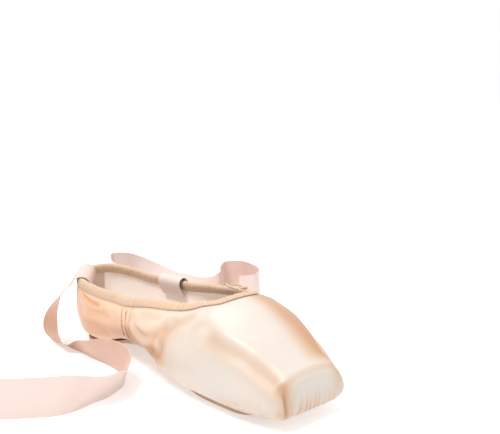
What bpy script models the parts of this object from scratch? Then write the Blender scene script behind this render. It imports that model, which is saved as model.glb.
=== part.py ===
"""A pointe shoe standing empty on its sole, with its ribbons and drawstring.

Frame: +Z up, the toe towards -Y, the wearer's left at +X. The origin is on the floor, under the middle of
the forefoot's tread. Lengths are in metres. "at" is a distance behind the toe tip, as a share of LENGTH.
"""
from collections import namedtuple
import math

import bmesh
import bpy
import numpy as np

MM = 0.001

# The shoe's main sizes
LENGTH = 235 * MM
BALL_WIDTH = 72 * MM
INSTEP_HEIGHT = 60 * MM
HEEL_HEIGHT = 48 * MM
WAIST_HEIGHT = 45 * MM
TREAD_CENTRE = 62 * MM
TOE_SPRING = 4.0 * MM
ARCH_RISE = 11.5 * MM
PLATFORM_EDGE = 4.5 * MM
FEATHER_EDGE = 5.0 * MM
HEEL_ROUND = 36 * MM
SOLE_CUT = 6 * MM

# Walls and clearances
UPPER_WALL = 1.8 * MM
BOX_WALL = 3.0 * MM
SEAT_GAP = 0.3 * MM
BOX_WALL_END = 0.22
UPPER_WALL_START = 0.42

# Outsole and insole
OUTSOLE_THICKNESS = 2.6 * MM
OUTSOLE_BEVEL = 0.8 * MM
OUTSOLE_BALL_WIDTH = 47 * MM
OUTSOLE_FRONT = 21 * MM
OUTSOLE_BACK = 9 * MM
OUTSOLE_TIP = 0.35 * MM
SOLE_ROWS = 37
SOLE_COLUMNS = 6
SEAT_MARGIN = 7 * MM
INSOLE_THICKNESS = 1.6 * MM
INSOLE_CLEARANCE = 2.1 * MM

# Collar binding, drawstring and label
BINDING_WIDTH = 3.2 * MM
BINDING_INNER_WIDTH = 3.4 * MM
BINDING_THICKNESS = 0.8 * MM
BINDING_GAP = 0.4 * MM
CHANNEL_RADIUS = 1.4 * MM
DRAWSTRING_DIAMETER = 1.5 * MM
KNOT_RADIUS = 3.2 * MM
KNOT_TAIL = 6 * MM
KNOT_ASIDE = 7 * MM
KNOT_OPENING = 0.62
KNOT_DEPTH = 0.62
KNOT_STEP = 0.7
KNOT_STATIONS = 30
# The knot's two tails, from the first one's end to the last one's: the first three columns in thirds of the
# knot's radius and the others in shares of the tail's length, each aside, downwards and outwards
KNOT_TAILS = (
    (1.9, -3.0, 0.0, 0.42, -0.85, -0.20),
    (2.2, -3.0, 0.0, 0.20, -0.45, -0.05),
    (-2.2, -3.0, 0.0, -0.20, -0.45, 0.05),
    (-1.6, -3.0, 0.0, -0.45, -0.80, 0.20),
)
# The casing's bead, a row for each corner. across: share of half its width. height: share of the channel's.
BEAD_COLUMNS = ("across", "height")
BEAD = (
    (0.95, 0.55),
    (0.45, 0.97),
    (-0.45, 0.97),
    (-0.95, 0.55),
)
LABEL_WIDTH = 12 * MM
LABEL_HEIGHT = 9 * MM
LABEL_THICKNESS = 0.8 * MM
LABEL_AT = 0.69

# Ribbons
RIBBON_WIDTH = 24 * MM
RIBBON_THICKNESS = 0.6 * MM
RIBBON_INSIDE = 9 * MM
FLOOR_GAP = 0.06 * MM
RIM_DIP = 1.5 * MM
RIBBON_RIGHT_BULGE = 6.4 * MM
RIBBON_LEFT_BULGE = 2.0 * MM
RIBBON_SQUARE = 0.3

# Sections of the last. half: share of half the ball width. crown: share of the instep height, reached at the
# middle line if the section were closed on top. wide_at: share of the section's height where it is widest.
SECTION_COLUMNS = ("at", "half", "crown", "wide_at")
SECTIONS = np.array([
    (0.00, 0.70, 0.50, 0.42),
    (0.05, 0.79, 0.61, 0.42),
    (0.12, 0.91, 0.79, 0.42),
    (0.20, 0.98, 0.94, 0.42),
    (0.28, 1.00, 1.00, 0.42),
    (0.38, 0.98, 1.00, 0.43),
    (0.48, 0.91, 0.96, 0.46),
    (0.58, 0.82, 0.94, 0.50),
    (0.70, 0.76, 0.96, 0.50),
    (0.82, 0.72, 1.03, 0.42),
    (0.92, 0.70, 1.10, 0.38),
    (1.00, 0.70, 1.10, 0.38),
])

# The sole's profile: how far the bottom stands off the tread's plane, in shares of the named rises
PROFILE_COLUMNS = ("at", "toe_spring", "arch_rise")
PROFILE = np.array([
    (0.00, 1.00, 0.00),
    (0.04, 0.62, 0.00),
    (0.09, 0.25, 0.00),
    (0.15, 0.04, 0.00),
    (0.20, 0.00, 0.00),
    (0.33, 0.00, 0.00),
    (0.42, 0.00, 0.30),
    (0.52, 0.00, 0.85),
    (0.60, 0.00, 1.00),
    (0.70, 0.00, 0.78),
    (0.80, 0.00, 0.20),
    (0.86, 0.00, 0.00),
    (0.94, 0.00, 0.00),
    (1.00, 0.25, 0.00),
])

# Collar line: heights in shares of the instep height, the waist height and the heel height
COLLAR_COLUMNS = ("at", "instep", "waist", "heel")
COLLAR = np.array([
    (0.200, 2.000, 0.00, 0.00),
    (0.270, 0.983, 0.00, 0.00),
    (0.285, 0.967, 0.00, 0.00),
    (0.320, 0.937, 0.00, 0.00),
    (0.400, 0.600, 0.37, 0.00),
    (0.520, 0.200, 0.82, 0.00),
    (0.650, 0.000, 1.00, 0.00),
    (0.780, 0.000, 0.65, 0.30),
    (0.880, 0.000, 0.28, 0.66),
    (0.960, 0.000, 0.00, 0.97),
    (1.000, 0.000, 0.00, 1.00),
])

# Outsole outline: half widths in shares of half its ball width, between its two round ends
OUTSOLE_COLUMNS = ("at", "half")
OUTSOLE = np.array([
    (0.09, 0.80),
    (0.18, 0.97),
    (0.28, 1.00),
    (0.42, 0.84),
    (0.58, 0.64),
    (0.72, 0.68),
    (0.86, 0.76),
    (0.96, 0.76),
])

# Ribbons outside the collar, a row for each bend. side: share of half the ball's width, left positive.
# at: share of the length. lift: height of the middle line over its standing height, in shares of the heel's
# height. to_side, to_heel, to_top: direction across the ribbon, from its lower or outer edge to the other one.
RIBBON_COLUMNS = ("side", "at", "lift", "to_side", "to_heel", "to_top")
RIBBON_RIGHT_CROSSES_AT = 0.951
RIBBON_RIGHT = (
    (-0.74, 0.970, 0.73, -0.60, -0.78, 0.10),
    (-0.92, 0.968, 0.59, -0.42, -0.90, 0.12),
    (-1.09, 0.956, 0.46, -0.20, -0.97, 0.15),
    (-1.19, 0.942, 0.32, -0.08, -0.98, 0.15),
    (-1.22, 0.928, 0.18, -0.08, -0.98, 0.18),
    (-1.15, 0.908, 0.04, -0.15, -0.97, 0.18),
    (-1.06, 0.862, 0.00, -0.18, -0.92, 0.33),
    (-1.08, 0.803, 0.00, -0.30, -0.80, 0.48),
    (-1.10, 0.730, 0.00, -0.32, -0.65, 0.69),
    (-1.05, 0.656, 0.00, -0.24, -0.45, 0.86),
    (-1.06, 0.583, 0.00, -0.08, -0.40, 0.91),
    (-1.15, 0.528, 0.00, -0.16, -0.60, 0.78),
    (-1.41, 0.479, 0.00, -0.30, -0.71, 0.64),
    (-1.71, 0.453, 0.00, -0.06, -0.60, 0.80),
    (-2.07, 0.445, 0.00, 0.04, -0.51, 0.86),
    (-2.43, 0.450, 0.00, 0.11, -0.28, 0.95),
    (-2.71, 0.469, 0.00, 0.25, -0.10, 0.96),
    (-3.12, 0.511, 0.00, 0.12, -0.04, 0.99),
    (-3.45, 0.553, 0.00, 0.00, 0.00, 1.00),
    (-4.10, 0.640, 0.00, 0.00, 0.00, 1.00),
    (-4.75, 0.760, 0.00, -0.10, 0.00, 1.00),
    (-5.05, 0.910, 0.00, -0.15, 0.00, 1.00),
    (-4.85, 1.060, 0.00, -0.10, 0.00, 1.00),
    (-4.30, 1.170, 0.00, 0.00, 0.00, 1.00),
    (-3.70, 1.235, 0.00, 0.00, 0.00, 1.00),
)
RIBBON_LEFT_CROSSES_AT = 0.69
RIBBON_LEFT = (
    (0.98, 0.700, 0.58, 0.00, 1.00, 0.00),
    (1.10, 0.725, 0.18, 0.10, 0.95, 0.20),
    (1.30, 0.790, 0.02, 0.30, 0.55, 0.70),
    (1.48, 0.890, 0.00, 0.20, 0.00, 0.95),
    (1.62, 1.060, 0.00, 0.00, 0.00, 1.00),
    (1.80, 1.250, 0.00, 0.00, 0.00, 1.00),
    (2.05, 1.410, 0.00, 0.00, 0.00, 1.00),
    (2.42, 1.485, 0.00, 0.00, 0.00, 1.00),
    (2.70, 1.450, 0.00, 0.00, 0.00, 1.00),
    (2.66, 1.350, 0.00, 0.30, 0.00, 0.95),
    (2.68, 1.210, 0.00, 0.72, 0.00, 0.69),
    (2.80, 1.060, 0.00, 0.78, 0.00, 0.62),
    (2.90, 0.945, 0.00, 0.45, 0.00, 0.89),
    (3.14, 0.945, 0.00, 0.00, 0.00, 1.00),
    (3.46, 1.005, 0.00, 0.00, 0.00, 1.00),
    (3.82, 1.045, 0.00, 0.00, 0.00, 1.00),
    (4.08, 1.010, 0.00, 0.00, 0.00, 1.00),
    (4.03, 0.925, 0.00, 0.00, 0.00, 1.00),
    (3.76, 0.850, 0.00, 0.00, 0.00, 1.00),
    (3.45, 0.822, 0.00, 0.00, 0.00, 1.00),
    (3.16, 0.850, 0.00, 0.00, 0.00, 1.00),
)

# Roundness of the last's sections below and above their widest line, and how far its field keeps its slope
LOW_POWER = 2.3
HIGH_POWER = 2.4
FIELD_REACH = 6 * MM

# The fan of ribs: the middle line that they start from, and the steepest ways down and up, in degrees
SPINE_HEIGHT = 24 * MM
TOE_CENTRE = 0.42
TOE_CROWDING = 1.15
LOWEST_TILT = -80.0
HIGHEST_TILT = 85.0

# Fineness of the faceted solids
RAYS_PER_RIB = 221
TURN_WEIGHT = 7 * MM
TOE_RIBS = 33
SIDE_RIBS = 20
HEEL_RIBS = 17
WALL_ROWS = 13
BINDING_ROWS = 2
RIBBON_STEP = 7 * MM
CROSSING_STATIONS = 7


def smooth_table(table, columns, name, at):
    """One column of a table, by a cubic through its rows that never overshoots them."""
    xs, ys = table[:, 0], table[:, columns.index(name)]
    steps = np.diff(xs)
    slopes = np.diff(ys) / steps
    tangents = np.zeros_like(ys)
    same_way = slopes[:-1] * slopes[1:] > 0
    weights = 1.0 / np.where(same_way, slopes[:-1] + slopes[1:], 1.0)
    tangents[1:-1] = np.where(same_way, 2.0 * slopes[:-1] * slopes[1:] * weights, 0.0)
    tangents[0], tangents[-1] = slopes[0], slopes[-1]
    at = np.clip(np.asarray(at, float), xs[0], xs[-1])
    k = np.clip(np.searchsorted(xs, at, side="right") - 1, 0, len(xs) - 2)
    t = (at - xs[k]) / steps[k]
    return ((2 * t**3 - 3 * t**2 + 1) * ys[k] + (t**3 - 2 * t**2 + t) * steps[k] * tangents[k]
            + (-2 * t**3 + 3 * t**2) * ys[k + 1] + (t**3 - t**2) * steps[k] * tangents[k + 1])


def bottom_height(s):
    """Height of the upper's underside over the floor, at a distance s behind the tip."""
    at = s / LENGTH
    return (OUTSOLE_THICKNESS + SEAT_GAP
            + TOE_SPRING * smooth_table(PROFILE, PROFILE_COLUMNS, "toe_spring", at)
            + ARCH_RISE * smooth_table(PROFILE, PROFILE_COLUMNS, "arch_rise", at))


def collar_height(s):
    """Height of the upper's top edge; far above the shoe ahead of the throat."""
    at = s / LENGTH
    return (INSTEP_HEIGHT * smooth_table(COLLAR, COLLAR_COLUMNS, "instep", at)
            + WAIST_HEIGHT * smooth_table(COLLAR, COLLAR_COLUMNS, "waist", at)
            + HEEL_HEIGHT * smooth_table(COLLAR, COLLAR_COLUMNS, "heel", at))


def wall_thickness(s):
    """The stiff box ahead of the throat is thicker than the cloth quarters."""
    at = np.clip((s / LENGTH - BOX_WALL_END) / (UPPER_WALL_START - BOX_WALL_END), 0.0, 1.0)
    return BOX_WALL + (UPPER_WALL - BOX_WALL) * at * at * (3.0 - 2.0 * at)


def rounded_max(a, b, radius):
    """The larger of a and b, with the edge between them rounded by about the radius."""
    width = 1.3 * radius
    mix = np.clip(0.5 + 0.5 * (a - b) / width, 0.0, 1.0)
    return a * mix + b * (1.0 - mix) + width * mix * (1.0 - mix)


def last_field(x, s, z):
    """Below zero inside the last: a tube of oval sections, cut by the platform and by the flat bottom."""
    at = s / LENGTH
    half = 0.5 * BALL_WIDTH * smooth_table(SECTIONS, SECTION_COLUMNS, "half", at)
    flat = bottom_height(s)
    low = flat - SOLE_CUT
    high = INSTEP_HEIGHT * smooth_table(SECTIONS, SECTION_COLUMNS, "crown", at)
    widest = low + smooth_table(SECTIONS, SECTION_COLUMNS, "wide_at", at) * (high - low)
    behind = np.maximum(0.0, s - (LENGTH - HEEL_ROUND)) / HEEL_ROUND
    across = (np.abs(x / half) ** LOW_POWER + behind ** LOW_POWER) ** (1 / LOW_POWER)
    above = z > widest
    power = np.where(above, HIGH_POWER, LOW_POWER)
    reach = np.where(above, high - widest, widest - low)
    ratio = (across ** power + (np.abs(z - widest) / reach) ** power) ** (1.0 / power)
    tube = (ratio - 1.0) * np.minimum(half, 0.5 * (high - low) + FIELD_REACH)
    field = rounded_max(tube, -s, PLATFORM_EDGE)
    return rounded_max(field, flat - z, FEATHER_EDGE)


def normals_of(points):
    """Outward unit normals of the last's surface, from the field's slope."""
    step = 0.02 * MM
    x, s, z = points[..., 0], points[..., 1], points[..., 2]
    slope = np.stack([last_field(x + step, s, z) - last_field(x - step, s, z),
                      last_field(x, s + step, z) - last_field(x, s - step, z),
                      last_field(x, s, z + step) - last_field(x, s, z - step)], -1)
    return slope / np.linalg.norm(slope, axis=-1, keepdims=True)


def rib_fan():
    """Centre and plan direction of each rib round the shoe, from the tip to the left side, heel and back."""
    toe_centre = TOE_CENTRE * LENGTH
    heel_centre = LENGTH - HEEL_ROUND
    turn = np.linspace(-1.0, 1.0, TOE_RIBS)
    angle = 0.5 * math.pi * np.sign(turn) * np.abs(turn) ** TOE_CROWDING
    toe = [(toe_centre, math.sin(a), -math.cos(a)) for a in angle[1:-1]]
    left = [(s, 1.0, 0.0) for s in np.linspace(toe_centre, heel_centre, SIDE_RIBS)]
    heel = [(heel_centre, math.cos(a), math.sin(a)) for a in np.linspace(0, math.pi, HEEL_RIBS)[1:-1]]
    right = [(s, -1.0, 0.0) for s in np.linspace(heel_centre, toe_centre, SIDE_RIBS)]
    return np.array(toe + left + heel + right)


def cast_rays(centres, directions, reach=0.2, halvings=40):
    """Distance along each ray to the last's surface, by halving."""
    near = np.zeros(centres.shape[:-1])
    far = np.full(centres.shape[:-1], reach)
    for _ in range(halvings):
        middle = 0.5 * (near + far)
        p = centres + directions * middle[..., None]
        inside = last_field(p[..., 0], p[..., 1], p[..., 2]) < 0
        near = np.where(inside, middle, near)
        far = np.where(inside, far, middle)
    return 0.5 * (near + far)


def outsole_half(s, inset=0.0):
    """Half width of the outsole's outline, or of a like outline further in, with its two round ends."""
    half = 0.5 * OUTSOLE_BALL_WIDTH * smooth_table(OUTSOLE, OUTSOLE_COLUMNS, "half", s / LENGTH) - inset
    front = OUTSOLE_FRONT + inset
    back = LENGTH - OUTSOLE_BACK - inset
    front_end = np.clip((front + half - s) / half, 0.0, 1.0)
    back_end = np.clip((s - back + half) / half, 0.0, 1.0)
    return half * np.sqrt(1.0 - front_end ** 2) * np.sqrt(1.0 - back_end ** 2)


def outside_opening(x, s):
    """Above zero outside the upper's bottom opening, which keeps a margin inside the outsole's outline."""
    ahead = OUTSOLE_FRONT + SEAT_MARGIN - s
    behind = s - (LENGTH - OUTSOLE_BACK - SEAT_MARGIN)
    return np.maximum(np.abs(x) - outsole_half(s, SEAT_MARGIN), np.maximum(ahead, behind))


def crossing(values, start=0):
    """Index and share of the first step from start on at which values rises through zero."""
    k = start + int(np.argmax(values[start:] > 0))
    share = values[k - 1] / (values[k - 1] - values[k])
    return k, share


def rib_lines():
    """The last's surface along each rib, from the bottom opening to the collar, as one dense line a rib."""
    fan = rib_fan()
    tilt = np.radians(np.linspace(LOWEST_TILT, HIGHEST_TILT, RAYS_PER_RIB))
    directions = np.stack([fan[:, 1, None] * np.cos(tilt), fan[:, 2, None] * np.cos(tilt),
                           np.ones((len(fan), 1)) * np.sin(tilt)], -1)
    centres = np.zeros_like(directions)
    centres[..., 1] = fan[:, 0, None]
    centres[..., 2] = SPINE_HEIGHT
    points = centres + directions * cast_rays(centres, directions)[..., None]
    lines = []
    for line in points:
        x, s, z = line.T
        first, share = crossing(outside_opening(x, s))
        start = line[first - 1] + (line[first] - line[first - 1]) * share
        last, share = crossing(z - collar_height(s), first)
        end = line[last - 1] + (line[last] - line[last - 1]) * share
        lines.append(np.vstack([start, line[first:last], end]))
    return lines


def along(line, distances):
    """Points at the given distances along a line."""
    steps = np.linalg.norm(np.diff(line, axis=0), axis=1)
    reached = np.concatenate([[0.0], np.cumsum(steps)])
    return np.stack([np.interp(distances, reached, line[:, k]) for k in range(3)], 1)


def row_distances(line):
    """Distances of a rib's rows: close where the surface turns, and even under the binding."""
    steps = np.diff(line, axis=0)
    lengths = np.linalg.norm(steps, axis=1)
    headings = steps / lengths[:, None]
    turning = np.arccos(np.clip(np.sum(headings[1:] * headings[:-1], axis=1), -1.0, 1.0))
    weight = lengths + TURN_WEIGHT * np.concatenate([turning, [0.0]])
    reached = np.concatenate([[0.0], np.cumsum(lengths)])
    measure = np.concatenate([[0.0], np.cumsum(weight)])
    under_binding = reached[-1] - BINDING_WIDTH
    whole = np.interp(under_binding, reached, measure)
    below = np.interp(np.linspace(0.0, whole, WALL_ROWS + 1), measure, reached)
    return np.concatenate([below[:-1], np.linspace(under_binding, reached[-1], BINDING_ROWS + 1)])


def placed(points):
    """From distances behind the tip to the part's frame."""
    return points - np.array([0.0, TREAD_CENTRE, 0.0])


def material(name, colour, roughness):
    """A plain Principled material."""
    made = bpy.data.materials.new(name)
    made.use_nodes = True
    shader = made.node_tree.nodes["Principled BSDF"]
    shader.inputs["Base Color"].default_value = (*colour, 1.0)
    shader.inputs["Roughness"].default_value = roughness
    shader.inputs["Metallic"].default_value = 0.0
    return made


def solid(name, points, faces, look):
    """One closed solid from points (distances behind the tip) and faces."""
    mesh = bpy.data.meshes.new(name)
    mesh.from_pydata(placed(np.asarray(points)).tolist(), [], [tuple(int(k) for k in f) for f in faces])
    shape = bmesh.new()
    shape.from_mesh(mesh)
    bmesh.ops.recalc_face_normals(shape, faces=shape.faces)
    if shape.calc_volume(signed=True) < 0:
        bmesh.ops.reverse_faces(shape, faces=shape.faces)
    shape.to_mesh(mesh)
    shape.free()
    mesh.shade_smooth()
    mesh.set_sharp_from_angle(angle=math.radians(40))
    mesh.materials.append(look)
    made = bpy.data.objects.new(name, mesh)
    bpy.context.collection.objects.link(made)
    return made


def ring_faces(count, width):
    """Quads of a closed sweep: count stations round, each a closed profile of width points."""
    faces = []
    for i in range(count):
        for j in range(width):
            a, b = i * width, (i + 1) % count * width
            faces.append((a + j, b + j, b + (j + 1) % width, a + (j + 1) % width))
    return faces


def open_sweep_faces(count, width):
    """Quads of a sweep with two ends, and its end caps."""
    faces = []
    for i in range(count - 1):
        for j in range(width):
            a, b = i * width, (i + 1) * width
            faces.append((a + j, b + j, b + (j + 1) % width, a + (j + 1) % width))
    faces.append(tuple(range(width - 1, -1, -1)))
    faces.append(tuple(range((count - 1) * width, count * width)))
    return faces


def make_upper(lines, look):
    """The hollow upper: outer rows up each rib, then inner rows down it, one wall's thickness in."""
    outer = np.array([along(line, row_distances(line)) for line in lines])
    normals = normals_of(outer)
    inner = outer - normals * wall_thickness(outer[..., 1])[..., None]
    profile = np.concatenate([outer, inner[:, ::-1]], axis=1)
    count, width = profile.shape[:2]
    return solid("upper", profile.reshape(-1, 3), ring_faces(count, width), look)


def make_binding(lines, look):
    """Cloth casing over the rim: a leg on each side of the wall and a bead for the drawstring on top."""
    stations = []
    for line in lines:
        total = np.linalg.norm(np.diff(line, axis=0), axis=1).sum()
        outer = along(line, total - np.linspace(BINDING_WIDTH, 0.0, BINDING_ROWS + 1))
        inner = along(line, total - np.array([0.0, BINDING_INNER_WIDTH]))
        up = outer[-1] - outer[-2]
        stations.append(np.vstack([outer, inner, [up / np.linalg.norm(up)]]))
    stations = np.array(stations)
    outer, inner, up = stations[:, :BINDING_ROWS + 1], stations[:, BINDING_ROWS + 1:-1], stations[:, -1]
    outward, inward = normals_of(outer), normals_of(inner)
    wall = wall_thickness(outer[:, -1:, 1])[..., None]
    skin = BINDING_GAP + BINDING_THICKNESS
    face = outer + outward * skin
    back = outer + outward * BINDING_GAP
    lining = inner - inward * (wall + skin)
    lining_back = inner - inward * (wall + BINDING_GAP)
    rim, side, lift = outer[:, -1], outward[:, -1], up
    middle = rim - side * 0.5 * wall[:, 0]
    across = 0.5 * wall[:, 0] + skin
    bead = [middle + side * across * c + lift * (BINDING_GAP + 2 * CHANNEL_RADIUS * h) for c, h in BEAD]
    under_lining = np.array([0.0, BINDING_GAP])[:, None]
    under_face = np.array([BINDING_GAP] + [0.0] * BINDING_ROWS)[:, None]
    profile = np.concatenate([face, np.stack(bead, 1), lining,
                              lining_back[:, ::-1] + lift[:, None] * under_lining,
                              back[:, ::-1] + lift[:, None] * under_face], axis=1)
    count, width = profile.shape[:2]
    return solid("collar_binding", profile.reshape(-1, 3), ring_faces(count, width), look)


def plate(name, rows, low_half, high_half, low_z, high_z, columns, look):
    """A thin plate across the shoe: for each row its half widths and heights on its lower and upper face."""
    across = np.linspace(-1.0, 1.0, columns + 1)
    profile = []
    for s, a, b, low, high in zip(rows, low_half, high_half, low_z, high_z):
        upper_line = [(c * b, s, high) for c in across]
        lower_line = [(c * a, s, low) for c in across[::-1]]
        profile.append(upper_line + lower_line)
    profile = np.array(profile)
    count, width = profile.shape[:2]
    return solid(name, profile.reshape(-1, 3), open_sweep_faces(count, width), look)


def rows_between(front, back, count):
    """Rows from front to back, close at the two ends."""
    return front + (back - front) * (0.5 - 0.5 * np.cos(np.linspace(0.0, math.pi, count)))


def make_outsole(look):
    """Leather sole with a bevelled lower edge, following the arch and the toe spring."""
    rows = rows_between(OUTSOLE_FRONT + OUTSOLE_TIP, LENGTH - OUTSOLE_BACK - OUTSOLE_TIP, SOLE_ROWS)
    half = outsole_half(rows)
    top = bottom_height(rows) - SEAT_GAP
    return plate("outsole", rows, np.maximum(half - OUTSOLE_BEVEL, 0.4 * half), half,
                 top - OUTSOLE_THICKNESS, top, SOLE_COLUMNS, look)


def seat_outline(lines, lift):
    """Half plan of the space inside the wall, at a height over the upper's turned-in edge: rows of (s, x)."""
    outline = []
    for line in lines:
        outer = along(line, row_distances(line))
        inner = outer - normals_of(outer) * wall_thickness(outer[:, 1])[:, None]
        x, s, z = inner.T
        k, share = crossing(z - (bottom_height(s) + wall_thickness(s) + SEAT_GAP + lift))
        edge = inner[k - 1] + (inner[k] - inner[k - 1]) * share
        if edge[0] >= -1e-9:
            outline.append((edge[1], edge[0]))
    return np.array(sorted(outline))


def make_insole(lines, look):
    """Suede board on the upper's turned-in edge, out to the wall all round."""
    low_edge, high_edge = seat_outline(lines, 0.0), seat_outline(lines, INSOLE_THICKNESS)
    rows = rows_between(low_edge[0, 0] + INSOLE_CLEARANCE, low_edge[-1, 0] - INSOLE_CLEARANCE, SOLE_ROWS)
    low = bottom_height(rows) + wall_thickness(rows) + SEAT_GAP
    low_half = np.interp(rows, *low_edge.T) - INSOLE_CLEARANCE
    high_half = np.interp(rows, *high_edge.T) - INSOLE_CLEARANCE
    return plate("insole", rows, low_half, np.maximum(high_half, low_half), low, low + INSOLE_THICKNESS,
                 SOLE_COLUMNS, look)


RimSpot = namedtuple("RimSpot", ("line", "total", "rim", "outward", "up", "onward"))


def rim_frame(lines, side, at):
    """The collar on one side at a share of the length: its rib, the rib's length, rim point and directions."""
    tops = np.array([line[-1] for line in lines])
    own = np.where((tops[:, 0] * side > 0) & (tops[:, 1] > 0.4 * LENGTH))[0]
    k = own[np.argmin(np.abs(tops[own, 1] - at * LENGTH))]
    outward = normals_of(tops[k])
    up = lines[k][-1] - lines[k][-6]
    up /= np.linalg.norm(up)
    onward = tops[(k + 1) % len(tops)] - tops[k - 1]
    onward -= outward * (onward @ outward)
    total = np.linalg.norm(np.diff(lines[k], axis=0), axis=1).sum()
    return RimSpot(lines[k], total, tops[k], outward, up, onward / np.linalg.norm(onward))


def over_rim(lines, side, at, sagitta):
    """Ribbon rows from its sewn end inside up and over the binding: middles and directions across."""
    spot = rim_frame(lines, side, at)
    wall = wall_thickness(spot.rim[1])
    skin = BINDING_GAP + BINDING_THICKNESS
    gap = SEAT_GAP + RIBBON_THICKNESS
    low, middle = along(spot.line, spot.total - np.array([RIBBON_INSIDE, 0.5 * RIBBON_INSIDE]))
    radius = 0.5 * wall + skin + gap + 0.5 * sagitta
    rise = BINDING_GAP + 2 * CHANNEL_RADIUS + gap + RIM_DIP - radius
    centre = spot.rim - spot.outward * 0.5 * (wall + sagitta) + spot.up * rise
    turn = np.linspace(0.0, math.pi, CROSSING_STATIONS)
    over = [centre - spot.outward * radius * math.cos(a) + spot.up * radius * math.sin(a) for a in turn]
    rows = [low - normals_of(low) * (wall + gap + sagitta),
            middle - normals_of(middle) * (wall + gap + skin + sagitta)] + over
    return np.array(rows), np.tile(-spot.onward * side, (len(rows), 1))


def smooth_path(rows, spacing):
    """A curve through rows of any width, with even steps of its first three columns."""
    chord = np.linalg.norm(np.diff(rows[:, :3], axis=0), axis=1) ** 0.5
    knots = np.concatenate([[0.0], np.cumsum(chord)])
    slopes = np.gradient(rows, knots, axis=0)
    at = np.linspace(0.0, knots[-1], 40 * len(rows))
    k = np.clip(np.searchsorted(knots, at, side="right") - 1, 0, len(knots) - 2)
    h = (knots[k + 1] - knots[k])[:, None]
    t = ((at - knots[k]) / h[:, 0])[:, None]
    dense = ((2 * t**3 - 3 * t**2 + 1) * rows[k] + (t**3 - 2 * t**2 + t) * h * slopes[k]
             + (-2 * t**3 + 3 * t**2) * rows[k + 1] + (t**3 - t**2) * h * slopes[k + 1])
    reached = np.concatenate([[0.0], np.cumsum(np.linalg.norm(np.diff(dense[:, :3], axis=0), axis=1))])
    even = np.linspace(0.0, reached[-1], int(reached[-1] / spacing) + 1)
    return np.stack([np.interp(even, reached, dense[:, c]) for c in range(rows.shape[1])], 1)


def make_ribbon(name, crossing_rows, table, look):
    """A satin ribbon: over the collar by its first rows, and then laid on the floor along its table."""
    columns = dict(zip(RIBBON_COLUMNS, np.array(table).T))
    across = np.stack([columns["to_side"], columns["to_heel"], columns["to_top"]], 1)
    across /= np.linalg.norm(across, axis=1, keepdims=True)
    standing = 0.5 * RIBBON_WIDTH * np.abs(across[:, 2]) + SEAT_GAP
    middles = np.stack([columns["side"] * 0.5 * BALL_WIDTH, columns["at"] * LENGTH,
                        columns["lift"] * HEEL_HEIGHT + standing], 1)
    start = np.concatenate(crossing_rows, axis=1)
    laid = np.concatenate([middles, across], axis=1)
    path = np.concatenate([start[:-1], smooth_path(np.concatenate([start[-1:], laid]), RIBBON_STEP)])
    middle, cross = path[:, :3], path[:, 3:]
    tangent = np.gradient(middle, axis=0)
    tangent /= np.linalg.norm(tangent, axis=1, keepdims=True)
    cross -= RIBBON_SQUARE * tangent * np.sum(cross * tangent, axis=1, keepdims=True)
    cross /= np.linalg.norm(cross, axis=1, keepdims=True)
    face = np.cross(tangent, cross)
    face /= np.linalg.norm(face, axis=1, keepdims=True)
    corners = [middle + cross * a * 0.5 * RIBBON_WIDTH + face * b * 0.5 * RIBBON_THICKNESS
               for a, b in ((-1, -1), (1, -1), (1, 1), (-1, 1))]
    profile = np.stack(corners, 1)
    lowest = profile[..., 2].min(axis=1)
    profile[..., 2] += np.maximum(0.0, FLOOR_GAP - lowest)[:, None]
    return solid(name, profile.reshape(-1, 3), open_sweep_faces(len(profile), 4), look)


def make_drawstring(lines, look):
    """The drawstring's overhand knot with its two short tails, on the binding at the throat."""
    ahead = [line for line in lines if line[-1, 1] < TOE_CENTRE * LENGTH]
    line = min(ahead, key=lambda one: abs(one[-1, 0] - KNOT_ASIDE))
    rim = line[-1]
    up = rim - line[-6]
    up /= np.linalg.norm(up)
    outward = normals_of(rim)
    bead = SEAT_GAP + 2 * CHANNEL_RADIUS
    centre = rim + up * (bead + 0.5 * KNOT_RADIUS) + outward * (DRAWSTRING_DIAMETER + 3 * SEAT_GAP)
    turn = np.linspace(math.pi + KNOT_OPENING, 3 * math.pi - KNOT_OPENING, KNOT_STATIONS)
    unit = KNOT_RADIUS / 3.0
    loops = np.stack([unit * (np.sin(turn) + 2 * np.sin(2 * turn)),
                      unit * (np.cos(turn) - 2 * np.cos(2 * turn)),
                      -KNOT_DEPTH * DRAWSTRING_DIAMETER * np.sin(3 * turn)], 1)
    tails = np.array(KNOT_TAILS)
    tails = tails[:, :3] * unit + tails[:, 3:] * KNOT_TAIL
    local = np.vstack([tails[:2], loops, tails[2:]])
    smooth = smooth_path(local, KNOT_STEP * DRAWSTRING_DIAMETER)
    sideways = np.array([1.0, 0.0, 0.0])
    path = centre + smooth[:, :1] * sideways - smooth[:, 1:2] * up + smooth[:, 2:] * outward
    return tube("drawstring_knot", path, DRAWSTRING_DIAMETER, look)


def tube(name, path, diameter, look):
    """A round cord along a path, as a curve with filled ends."""
    curve = bpy.data.curves.new(name, "CURVE")
    curve.dimensions = "3D"
    curve.bevel_depth = 0.5 * diameter
    curve.bevel_resolution = 2
    curve.use_fill_caps = True
    spline = curve.splines.new("POLY")
    spline.points.add(len(path) - 1)
    for point, place in zip(spline.points, placed(path)):
        point.co = (*place, 1.0)
    curve.materials.append(look)
    made = bpy.data.objects.new(name, curve)
    bpy.context.collection.objects.link(made)
    return made


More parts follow.
